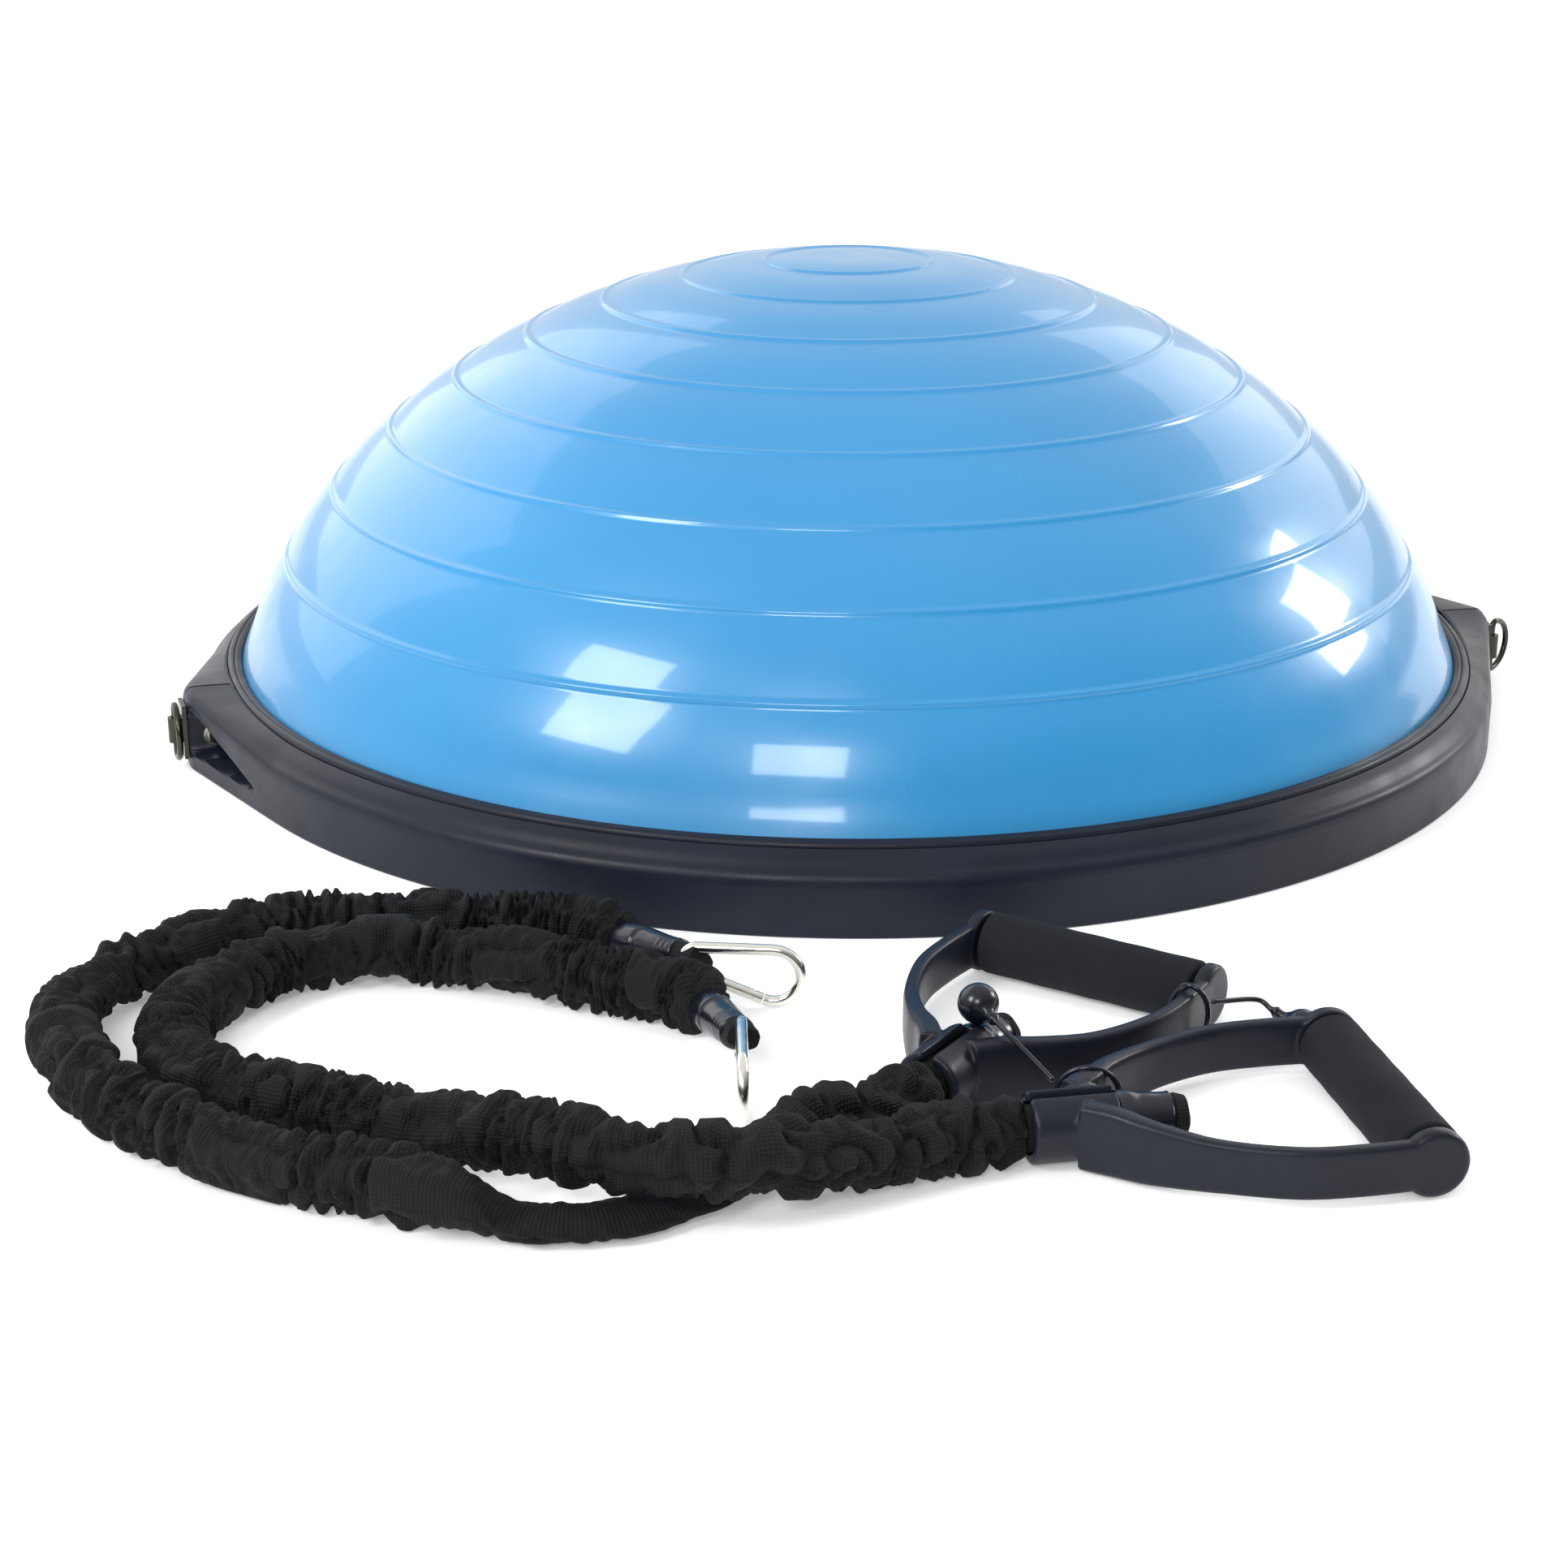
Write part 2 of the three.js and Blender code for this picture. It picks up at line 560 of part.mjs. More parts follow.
// Moves a piece made about +Z so that it starts at one point and runs towards another.
function towards(geometry, from, to) {
  const start = new THREE.Vector3(...from);
  const along = new THREE.Vector3(...to).sub(start).normalize();
  const turn = new THREE.Quaternion().setFromUnitVectors(new THREE.Vector3(0, 0, 1), along);
  return geometry.applyQuaternion(turn).translate(...from);
}

function buildBand(route, number, clearance) {
  const sleeve = bar(route, SLEEVE_RADIUS, SLEEVE_SIDES, route.length - 1);
  add(`band_sleeve_${number}`, number === 1 ? flatten(sleeve) : sleeve, FABRIC);
  const place = CLIPS[number - 1];
  const eye = new THREE.Vector3(CLIP.narrow, 0, 0).applyAxisAngle(
    new THREE.Vector3(0, 0, 1), radians(place.heading));
  const end = [place.x + eye.x, place.y + eye.y, place.z + CLIP.drop];
  const start = route[0];
  const whole = Math.hypot(end[0] - start[0], end[1] - start[1], end[2] - start[2]);
  const { start: low, length, radius, waist } = CUFF;
  const cuff = turned([
    [0, low], [radius, low], [radius, 8], [waist, 13], [radius - 0.3, 20], [waist, length],
    [0, length],
  ], 14);
  add(`band_cuff_${number}`, towards(cuff, start, end), RUBBER);
  const tab = towards(disc(5.6, length + GAP, whole, 12), start, end);
  add(`band_tab_${number}`, carve(tab, { cut: clearance }), FABRIC);
}

// ---------------------------------------------------------------- ball ties
function ovalOutline(halfWidth, halfHeight) {
  return Array.from({ length: 18 }, (_, i) => {
    const turn = (-2 * Math.PI * i) / 18;
    return [halfWidth * Math.cos(turn), halfHeight * Math.sin(turn)];
  });
}

// A ball about its own centre with a tapering stem towards +Z.
function ballWithStem() {
  const { ball, strand, stem } = TIE;
  const profile = [];
  for (let i = 0; i <= 7; i += 1) {
    const turn = Math.PI * (1 - 0.84 * (i / 7));
    profile.push([i === 0 ? 0 : ball * Math.sin(turn), ball * Math.cos(turn)]);
  }
  return turned([...profile, [strand, stem], [0, stem]], 14);
}

function buildTie({ ball, middle, end, loop }, number) {
  const hoop = wireLoop(ovalOutline(loop.halfWidth, loop.halfHeight), TIE.strand, TIE.sides);
  hoop.rotateZ(radians(loop.heading)).translate(loop.x, loop.y, loop.z);
  add(`tie_loop_${number}`, hoop, RUBBER);
  add(`tie_ball_${number}`, towards(ballWithStem(), ball, middle), RUBBER);
  const from = new THREE.Vector3(...ball);
  const start = new THREE.Vector3(...middle).sub(from).setLength(TIE.stem + GAP).add(from);
  const strand = bar([start.toArray(), middle, end], TIE.strand, TIE.sides, 6);
  add(`tie_strand_${number}`, strand, RUBBER);
}

// ---------------------------------------------------------------- assembly
buildPlatform();
buildDome();
buildEars();
HANDLES.forEach((handle, i) => buildHandle(handle, i + 1));
const clearances = CLIPS.map((clip, i) => buildClip(clip, i + 1));
ROUTES.forEach((route, i) => buildBand(route, i + 1, clearances[i]));
TIES.forEach((tie, i) => buildTie(tie, i + 1));

export default part;
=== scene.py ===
"""Balance dome trainer: the looks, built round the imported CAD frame.

Lengths in the constants are millimetres; MM turns them into Blender's metres.
"""
import json
import math

import bmesh
import bpy
import numpy as np
from mathutils import Matrix, Vector, noise


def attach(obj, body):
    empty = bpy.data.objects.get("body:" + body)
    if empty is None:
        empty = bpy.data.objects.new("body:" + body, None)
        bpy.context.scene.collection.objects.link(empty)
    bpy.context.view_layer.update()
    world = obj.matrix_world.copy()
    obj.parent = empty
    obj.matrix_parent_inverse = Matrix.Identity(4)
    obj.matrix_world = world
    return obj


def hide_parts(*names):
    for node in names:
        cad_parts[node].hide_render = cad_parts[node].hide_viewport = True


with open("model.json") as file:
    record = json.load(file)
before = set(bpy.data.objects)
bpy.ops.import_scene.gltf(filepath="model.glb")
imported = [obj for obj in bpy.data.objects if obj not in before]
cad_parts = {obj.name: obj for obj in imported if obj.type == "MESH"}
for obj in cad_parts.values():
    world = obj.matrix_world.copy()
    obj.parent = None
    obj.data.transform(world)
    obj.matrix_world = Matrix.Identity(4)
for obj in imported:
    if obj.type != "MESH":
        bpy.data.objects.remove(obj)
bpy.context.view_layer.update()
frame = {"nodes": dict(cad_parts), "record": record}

MM = 0.001

# ---------------------------------------------------------------- dimensions
CAMERA = {"place": (0, -1350, 437), "pitch": 19.76, "yaw": 1.31, "lens": 64.14}

# The studio is in metres: each softbox has its place, its width and height, and its watts.
LIGHTS_FACE = (0, 0, 0.1)
SOFTBOXES = {
    "key_left": ((-1.74, -1.54, 1.63), (0.8, 0.95), 34),
    "front": ((-0.35, -2.46, 1.45), (0.75, 0.6), 20),
    "right": ((2.40, 0.88, 1.01), (0.6, 0.7), 24),
    "back_left": ((-2.1, 1.9, 1.5), (3.0, 2.4), 26),
    "back_right": ((2.0, 2.4, 1.3), (2.4, 1.6), 14),
}
SKY = {"towards": (-0.35, 0.55, 0.9), "tilt": (-0.3, 0.8), "strength": (0.25, 0.95)}
GROUND = {"reach": 200, "colour": (0.93, 0.93, 0.94), "roughness": 0.9, "glow": 0.25}

PLATFORM_RADIUS = 317.5
SIDE_HEIGHT = 23
WELL_RADIUS = 297
LEDGE_RADIUS = 305.8
LEDGE_HEIGHT = 33
RECESS_RADIUS = 312
RECESS_HEIGHT = 6.3
EAR_ANGLES = {"right": 6, "left": -160}
EAR_REACH = 329
EAR_TIP_HALF_WIDTH = 8
EAR_RISE = 10
EAR_SPAN = 26  # degrees either side of an ear that get a fine mesh
EAR_FALL = 0.12  # share of an ear's lift that is lost between its ridge and its corner
RIDGE_LINE = {"half_width": 0.11, "depth": 0.8}  # groove on an ear's ridge, in degrees and mm
POCKET = {"start": 9, "floor": 9, "top": 30, "end": 80, "inner": 306.3, "soft": 1.5, "lip": 1.8}

DOME = {"centre": -33, "radius": 309, "height": 255, "wall": 3, "foot": 35, "floor": 6.4}
RIB_SPACING = 40
RIB_COUNT = 8
RIB = {"height": 1.1, "spread": 1.2, "swell": 0.8}
DOME_SIDES = 224
DOME_STEPS = 900  # points on the whole profile, before it is thinned
RIB_REACH = 4  # either side of a rib's ridge where more points are kept
KEPT_POINTS = {"inside": 45, "plain": 12, "rib": 2}  # one point in so many

D_RING = {"hinge": 334, "middle": 18, "half_height": 12.5, "depth": 16, "wire": 1.5}
D_RING_SWING = {"right": 45, "left": 90}

HANDLES = [
    {"x": 29, "y": -477, "heading": 58},
    {"x": 62, "y": -508, "heading": 12},
]
REACH = 124
AXIS = 12.8
COLLAR = {"length": 30, "outer": 12.4, "inner": 9, "slit": 5}
ARM_ROUTE = [(17, 8), (26, 15), (36, 25.5), (54, 38), (78, 47.5), (100, 49.5), (124, 48.5)]
ARM_HEIGHTS = [24, 24, 22, 18.5, 18, 18, 18]
ARM_WIDTHS = [9, 9, 7.5, 6, 6, 6, 6]
HUB = {"radius": 12, "inner": 45.6, "outer": 51.6, "boss": 5.6, "boss_length": 9}
GRIP = {"radius": 12, "bore": 8.3, "half": 44, "edge": 1.6, "dent": 0.15}
STOPPER_LENGTH = 19
TAIL = {"depths": (0, 0.5, 2, 3.5, 5, 5.4), "radii": (7, 7.5, 7.6, 7.3, 7.2, 6.6)}
REMESH_CELL = 0.62

CLIPS = [
    {"x": -60, "y": -382, "z": 13.2, "heading": -4},
    {"x": -36, "y": -445, "z": 13.2, "heading": -87},
]
CLIP = {"wire": 2.2, "narrow": 5, "wide": 10.5, "span": 29, "drop": 5.5}
PIN_AT = 4.5
GATE = {"low": 1.3, "trim": 0.5, "notch": 4.6, "neck": 0.35}
CUFF_LENGTH = 36
CUFF = {"radius": 7.3, "swell": 0.4, "narrowing": 0.8, "waist": 0.7, "waist_at": 14}
TAB = {"radius": 5.6, "widening": 0.6, "thinning": 1.2, "overlap": 3, "past_eye": 2.5}
CUFF_SIDES = 40
TAB_SIDES = 32

SLEEVE_RADIUS = 12.5
SLEEVE_SIDES = 72
RING_STEP = 1.1
GAP = 0.3
FLAT = {"x": -62, "y": -552, "core": 40, "reach": 66, "height": 9}
FLOOR = SLEEVE_RADIUS + GAP
HUMP = FLOOR + FLAT["height"] + GAP
CALM = {"least": 0.3, "near": 30, "far": 75}  # gathers fade where band 1 lies flat
SLEEVE_ENDS = {"handle": (0.72, 11), "cuff": (0.74, 8)}  # share of the radius, mm to the whole
GATHERS = {"pitch": 8.5, "drift": 2.5, "lean": 0.5, "puff": 9.5, "power": 0.8, "crease": 3.4,
           "bulge": 1.6, "level": 3.0, "middle": 11.1, "least": -2.9, "most": 3.0}
GATHER_RUNS = {"drift": 60, "lean": 30, "crease": 4.2, "bulge": 26}  # mm along the sleeve

# The middle line of each band, from its cuff to its handle.
ROUTES = [
    [
        (-86, -350, FLOOR), (-93, -343.5, FLOOR), (-104, -339, FLOOR), (-120, -337, FLOOR),
        (-141, -336, FLOOR), (-165, -335, FLOOR), (-191, -335, FLOOR), (-216, -340, FLOOR),
        (-241, -352, FLOOR), (-261, -371, FLOOR), (-275, -391, FLOOR), (-282, -413, FLOOR),
        (-281, -434, FLOOR), (-275, -453, FLOOR), (-264, -473, FLOOR), (-250, -491, FLOOR),
        (-231, -508, FLOOR), (-209, -523, FLOOR), (-184, -536, FLOOR), (-158, -547, FLOOR),
        (-134, -555, FLOOR), (-110, -560, FLOOR), (-92, -562, FLOOR), (-76, -560, FLOOR),
        (-61, -553, FLOOR), (-47, -542, FLOOR), (-35, -528, FLOOR), (-20, -513, FLOOR),
        (-5, -505, FLOOR), (11, -498.5, FLOOR), (22, -488.2, FLOOR), (28.1, -478.4, FLOOR),
    ],
    [
        (-50, -413, FLOOR), (-56.5, -404, FLOOR), (-69, -396, FLOOR), (-86, -388.5, FLOOR),
        (-104, -381, FLOOR), (-124, -373, FLOOR), (-143, -367, FLOOR), (-163, -363, FLOOR),
        (-181, -363, FLOOR), (-198, -367, FLOOR), (-213, -375, FLOOR), (-226, -388, FLOOR),
        (-235, -405, FLOOR), (-240, -424, FLOOR), (-240, -443, FLOOR), (-235, -459, FLOOR),
        (-225, -472, FLOOR), (-211, -483, FLOOR), (-195, -491, FLOOR), (-177, -498, FLOOR),
        (-157, -506, FLOOR), (-137, -514, FLOOR), (-118, -524, FLOOR + 5),
        (-100, -534, HUMP - 1), (-84, -543, HUMP), (-68, -549, HUMP), (-52, -553, HUMP),
        (-36, -552, HUMP), (-20, -547, HUMP - 1), (-3, -537, FLOOR + 4), (14, -526, FLOOR),
        (31, -517.5, FLOOR), (47, -511.2, FLOOR), (60.4, -508.3, FLOOR),
    ],
]

TIE = {"strand": 1, "ball": 7.4, "stem": 14}
TIES = [
    {"ball": (48, -446, 30.4), "middle": (60, -469, 26.4), "end": (71.6, -485, 20),
     "loop": (84, -486, 13.2), "heading": 0, "size": (11, 11.8)},
    {"ball": (168, -416, 8), "middle": (152, -406, 15), "end": (135, -417.5, 19),
     "loop": (126.6, -414.2, 12.8), "heading": -32, "size": (7.6, 11.4)},
]


# ---------------------------------------------------------------- materials
def material(name, colour, roughness, metallic=0.0, coat=0.0, specular=0.5):
    """A principled material; returns it with its nodes, links and shader."""
    made = bpy.data.materials.new(name)
    made.use_nodes = True
    nodes, links = made.node_tree.nodes, made.node_tree.links
    shader = nodes["Principled BSDF"]
    shader.inputs["Base Color"].default_value = (*colour, 1)
    shader.inputs["Roughness"].default_value = roughness
    shader.inputs["Metallic"].default_value = metallic
    shader.inputs["Coat Weight"].default_value = coat
    shader.inputs["Specular IOR Level"].default_value = specular
    return made, nodes, links, shader


def grain(nodes, scale, detail=4.0):
    """Noise in the object's own coordinates, so a grain keeps its real size."""
    coordinates = nodes.new("ShaderNodeTexCoord")
    texture = nodes.new("ShaderNodeTexNoise")
    texture.inputs["Scale"].default_value = scale
    texture.inputs["Detail"].default_value = detail
    nodes.id_data.links.new(coordinates.outputs["Object"], texture.inputs["Vector"])
    return texture.outputs["Fac"]


def vary(nodes, links, source, shader, socket, low, high):
    """Drives a colour or a number of the shader from low to high with a texture."""
    if isinstance(low, tuple):
        ramp = nodes.new("ShaderNodeValToRGB")
        ramp.color_ramp.elements[0].position = 0.3
        ramp.color_ramp.elements[1].position = 0.7
        ramp.color_ramp.elements[0].color = (*low, 1)
        ramp.color_ramp.elements[1].color = (*high, 1)
        links.new(source, ramp.inputs["Fac"])
        links.new(ramp.outputs["Color"], shader.inputs[socket])
        return
    spread = nodes.new("ShaderNodeMapRange")
    spread.inputs["From Min"].default_value = 0.3
    spread.inputs["From Max"].default_value = 0.7
    spread.inputs["To Min"].default_value = low
    spread.inputs["To Max"].default_value = high
    links.new(source, spread.inputs["Value"])
    links.new(spread.outputs["Result"], shader.inputs[socket])


def bump(nodes, links, source, shader, strength, distance):
    made = nodes.new("ShaderNodeBump")
    made.inputs["Strength"].default_value = strength
    made.inputs["Distance"].default_value = distance
    links.new(source, made.inputs["Height"])
    links.new(made.outputs["Normal"], shader.inputs["Normal"])


def moulded(name, dark, light, rough, grain_scale, strength, specular=0.3):
    """Moulded plastic or rubber: a fine grain, and colour that drifts slowly."""
    made, nodes, links, shader = material(name, light, rough, specular=specular)
    vary(nodes, links, grain(nodes, 18, 3), shader, "Base Color", dark, light)
    vary(nodes, links, grain(nodes, 45, 5), shader, "Roughness", rough - 0.06, rough + 0.08)
    bump(nodes, links, grain(nodes, grain_scale, 3), shader, strength, 0.0003)
    return made


def metal(name, colour, rough):
    """Plated metal with faint smudges."""
    made, nodes, links, shader = material(name, colour, rough, metallic=1.0)
    vary(nodes, links, grain(nodes, 160, 4), shader, "Roughness", rough * 0.7, rough * 1.5)
    bump(nodes, links, grain(nodes, 900, 2), shader, 0.05, 0.0002)
    return made


def glossy_pvc():
    """The dome's skin: glossy, with slow waves that soften its reflections."""
    dark, light = (0.019, 0.245, 0.53), (0.028, 0.275, 0.58)
    made, nodes, links, shader = material("dome_pvc_look", light, 0.3, coat=0.5)
    shader.inputs["Coat Roughness"].default_value = 0.06
    vary(nodes, links, grain(nodes, 5, 2), shader, "Base Color", dark, light)
    vary(nodes, links, grain(nodes, 30, 5), shader, "Roughness", 0.24, 0.36)
    bump(nodes, links, grain(nodes, 14, 1), shader, 0.05, 0.002)
    return made


def woven(name, dark, light, cell):
    """A plain weave: two crossing sets of threads in the piece's UVs, in metres."""
    made, nodes, links, shader = material(name, light, 0.8, specular=0.28)
    uv = nodes.new("ShaderNodeUVMap")
    uv.uv_map = "cloth"
    threads = []
    for direction in ("X", "Y"):
        wave = nodes.new("ShaderNodeTexWave")
        wave.bands_direction = direction
        wave.inputs["Scale"].default_value = math.pi / 10 / cell
        wave.inputs["Distortion"].default_value = 0.6
        links.new(uv.outputs["UV"], wave.inputs["Vector"])
        threads.append(wave.outputs["Fac"])
    cross = nodes.new("ShaderNodeMath")
    cross.operation = "MULTIPLY"
    links.new(threads[0], cross.inputs[0])
    links.new(threads[1], cross.inputs[1])
    vary(nodes, links, cross.outputs["Value"], shader, "Base Color", dark, light)
    bump(nodes, links, cross.outputs["Value"], shader, 0.75, 0.0006)
    return made


PLASTIC = moulded("platform_plastic_look", (0.0065, 0.0085, 0.0165), (0.0095, 0.0125, 0.024),
                  rough=0.38, grain_scale=1400, strength=0.25, specular=0.24)
HANDLE_PLASTIC = moulded("handle_plastic_look", (0.007, 0.0085, 0.015), (0.011, 0.013, 0.022),
                         rough=0.36, grain_scale=1100, strength=0.2, specular=0.26)
GRIP_RUBBER = moulded("grip_rubber_look", (0.009, 0.009, 0.011), (0.018, 0.018, 0.021),
                      rough=0.7, grain_scale=900, strength=0.35)
FOAM = moulded("foam_look", (0.008, 0.0095, 0.013), (0.013, 0.0145, 0.019),
               rough=0.86, grain_scale=2300, strength=0.6, specular=0.2)
CORD_RUBBER = moulded("cord_rubber_look", (0.004, 0.005, 0.010), (0.007, 0.009, 0.018),
                      rough=0.2, grain_scale=320, strength=0.05, specular=0.45)
DOME_PVC = glossy_pvc()
NICKEL = metal("nickel_look", (0.78, 0.765, 0.70), rough=0.16)
DARK_STEEL = metal("dark_steel_look", (0.055, 0.058, 0.046), rough=0.24)
FABRIC = woven("sleeve_fabric_look", (0.002, 0.0022, 0.0026), (0.0095, 0.0102, 0.0118),
               cell=0.0013)
LOOKS = {
    "platform_plastic": PLASTIC, "dome_pvc": DOME_PVC, "grip_rubber": GRIP_RUBBER,
    "dark_steel": DARK_STEEL, "nickel": NICKEL, "handle_plastic": HANDLE_PLASTIC,
    "foam": FOAM, "cord_rubber": CORD_RUBBER, "sleeve_fabric": FABRIC,
}


# ---------------------------------------------------------------- mesh helpers
def piece(name, points, faces, body, slot, nodes=(), sharp=35, uvs=None):
    """A smooth closed mesh from points in millimetres, riding on a CAD body."""
    points = np.asarray(points, float)
    triangles = [(f[0], f[i], f[i + 1]) for f in faces for i in range(1, len(f) - 1)]
    a, b, c = (points[[t[k] for t in triangles]] for k in range(3))
    if np.einsum("ij,ij->i", a, np.cross(b, c)).sum() < 0:
        faces = [tuple(reversed(f)) for f in faces]
    mesh = bpy.data.meshes.new(name)
    mesh.from_pydata((points * MM).tolist(), [], faces)
    if uvs is not None:
        layer = mesh.uv_layers.new(name="cloth")
        for loop in mesh.loops:
            layer.data[loop.index].uv = uvs[loop.vertex_index]
    work = bmesh.new()
    work.from_mesh(mesh)
    bmesh.ops.remove_doubles(work, verts=work.verts, dist=1e-7)
    work.to_mesh(mesh)
    work.free()
    return place_piece(name, mesh, body, slot, nodes, sharp)


def place_piece(name, mesh, body, slot, nodes, sharp=35):
    mesh.shade_smooth()
    mesh.set_sharp_from_angle(angle=math.radians(sharp))
    mesh.materials.clear()
    mesh.materials.append(LOOKS[slot])
    made = bpy.data.objects.new(name, mesh)
    bpy.context.collection.objects.link(made)
    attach(made, body)
    if nodes:
        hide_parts(*nodes)
    return made


def skin(rings, closed=False):
    """Points and faces of a body lofted through rings, which each close on themselves."""
    rings = np.asarray(rings, float)
    count, sides = rings.shape[:2]
    points = rings.reshape(-1, 3).tolist()
    faces = []
    for i in range(count if closed else count - 1):
        low, high = i * sides, ((i + 1) % count) * sides
        for j in range(sides):
            k = (j + 1) % sides
            faces.append((low + j, low + k, high + k, high + j))
    if not closed:
        for first, ring in ((0, rings[0]), ((count - 1) * sides, rings[-1])):
            centre = len(points)
            points.append(ring.mean(axis=0).tolist())
            for j in range(sides):
                corner = (first + j, first + (j + 1) % sides, centre)
                faces.append(corner if first else corner[::-1])
    return points, faces


def turned(profile, sides=48):
    """Rings of a closed [radius, height] profile, turned about +Z."""
    profile = np.asarray(profile, float)
    turns = np.arange(sides) * 2 * math.pi / sides
    return np.array([
        np.stack([profile[:, 0] * math.cos(t), profile[:, 0] * math.sin(t), profile[:, 1]], 1)
        for t in turns])


def smooth(points, steps, closed=False):
    """A Catmull-Rom curve through the points, with steps pieces for each span."""
    points = np.asarray(points, float)
    if closed:
        padded = np.vstack([points[-1:], points, points[:2]])
    else:
        padded = np.vstack([2 * points[0] - points[1], points, 2 * points[-1] - points[-2]])
    made = []
    for a, b, c, d in zip(padded, padded[1:], padded[2:], padded[3:]):
        for i in range(steps):
            t = i / steps
            made.append(0.5 * (2 * b + (c - a) * t + (2 * a - 5 * b + 4 * c - d) * t ** 2
                               + (3 * b - a - 3 * c + d) * t ** 3))
    if not closed:
        made.append(points[-1])
    return np.array(made)


def even(points, step):
    """The same line with its points the same distance apart, and that distance."""
    lengths = np.r_[0, np.cumsum(np.linalg.norm(np.diff(points, axis=0), axis=1))]
    count = max(2, round(lengths[-1] / step))
    wanted = np.linspace(0, lengths[-1], count + 1)
    made = np.stack([np.interp(wanted, lengths, points[:, k]) for k in range(points.shape[1])], 1)
    return made, lengths[-1]


def tube(path, radius, sides, closed=False):
    """Rings along a line; radius is a number or an array with a value for each ring."""
    path = np.asarray(path, float)
    if closed:
        along = np.roll(path, -1, axis=0) - np.roll(path, 1, axis=0)
    else:
        along = np.gradient(path, axis=0)
    along /= np.linalg.norm(along, axis=1)[:, None]
    turns = np.arange(sides) * 2 * math.pi / sides
    guide = np.array([0, 0, 1.0]) if abs(along[0][2]) < 0.9 else np.array([0, 1.0, 0])
    radius = np.broadcast_to(np.asarray(radius, float).reshape(-1, 1), (len(path), sides)) \
        if np.ndim(radius) < 2 else radius
    rings = []
    for centre, direction, reach in zip(path, along, radius):
        side = np.cross(guide, direction)
        side /= np.linalg.norm(side)
        guide = np.cross(direction, side)
        rings.append(centre + reach[:, None] * (
            np.cos(turns)[:, None] * side + np.sin(turns)[:, None] * guide))
    return np.array(rings)


def rounded_ends(path, radius, steps=5):
    """Adds points and shrinking radii, so that a tube ends in two half balls."""
    path = np.asarray(path, float)
    turns = np.linspace(0, math.pi / 2, steps + 1)[1:]
    first = path[0] - path[1]
    last = path[-1] - path[-2]
    first /= np.linalg.norm(first)
    last /= np.linalg.norm(last)
    caps = radius * np.sin(turns)[:, None]
    radii = np.maximum(radius * np.cos(turns), 0.02)
    whole = np.vstack([(path[0] + caps * first)[::-1], path, path[-1] + caps * last])
    return whole, np.r_[radii[::-1], np.full(len(path), float(radius)), radii]


def turn_z(points, degrees, shift=(0, 0, 0)):
    """Turns points about +Z and then moves them."""
    points = np.asarray(points, float)
    c, s = math.cos(math.radians(degrees)), math.sin(math.radians(degrees))
    return points @ np.array([[c, -s, 0], [s, c, 0], [0, 0, 1]]).T + np.asarray(shift, float)


def along_x(points):
    points = np.asarray(points, float)
    return np.stack([points[..., 2], points[..., 1], -points[..., 0]], -1)


def along_y(points):
    points = np.asarray(points, float)
    return np.stack([points[..., 0], points[..., 2], -points[..., 1]], -1)


def towards(points, start, end):
    """Moves points made about +Z so that they start at one point and run to another."""
    start = Vector(start)
    turn = Vector((0, 0, 1)).rotation_difference(Vector(end) - start).to_matrix()
    return np.asarray(points, float) @ np.array(turn).T + np.array(start)


def smoothstep(value, low, high):
    share = np.clip((np.asarray(value, float) - low) / (high - low), 0, 1)
    return share * share * (3 - 2 * share)


def baked(made, modifiers):
    """Applies modifiers, given as (type, settings), to a scratch object and returns its mesh."""
    for kind, settings in modifiers:
        modifier = made.modifiers.new(kind.lower(), kind)
        for key, value in settings.items():
            setattr(modifier, key, value)
    evaluated = made.evaluated_get(bpy.context.evaluated_depsgraph_get())
    mesh = bpy.data.meshes.new_from_object(evaluated)
    bpy.data.objects.remove(made)
    return mesh


def scratch(points, faces):
    """A plain object to run modifiers on."""
    mesh = bpy.data.meshes.new("scratch")
    mesh.from_pydata((np.asarray(points, float) * MM).tolist(), [], faces)
    work = bmesh.new()
    work.from_mesh(mesh)
    bmesh.ops.remove_doubles(work, verts=work.verts, dist=1e-7)
    bmesh.ops.recalc_face_normals(work, faces=work.faces)
    work.to_mesh(mesh)
    work.free()
    made = bpy.data.objects.new("scratch", mesh)
    bpy.context.collection.objects.link(made)
    return made


# ---------------------------------------------------------------- camera and lights
def build_camera():
    camera = bpy.data.objects.new("camera", bpy.data.cameras.new("camera"))
    camera.data.lens = CAMERA["lens"]
    camera.data.sensor_width = 36
    camera.data.clip_end = 100
    camera.location = Vector(CAMERA["place"]) * MM
    camera.rotation_euler = (math.radians(90 - CAMERA["pitch"]), 0, math.radians(CAMERA["yaw"]))
    bpy.context.collection.objects.link(camera)
    bpy.context.scene.camera = camera


def build_lights():
    """Rectangular studio lights that all face the same point."""
    for name, (place, size, power) in SOFTBOXES.items():
        light = bpy.data.lights.new(name, "AREA")
        light.shape = "RECTANGLE"
        light.size, light.size_y = size
        light.energy = power
        made = bpy.data.objects.new(name, light)
        made.location = place
        facing = Vector(LIGHTS_FACE) - Vector(place)
        made.rotation_euler = facing.to_track_quat("-Z", "Y").to_euler()
        bpy.context.collection.objects.link(made)


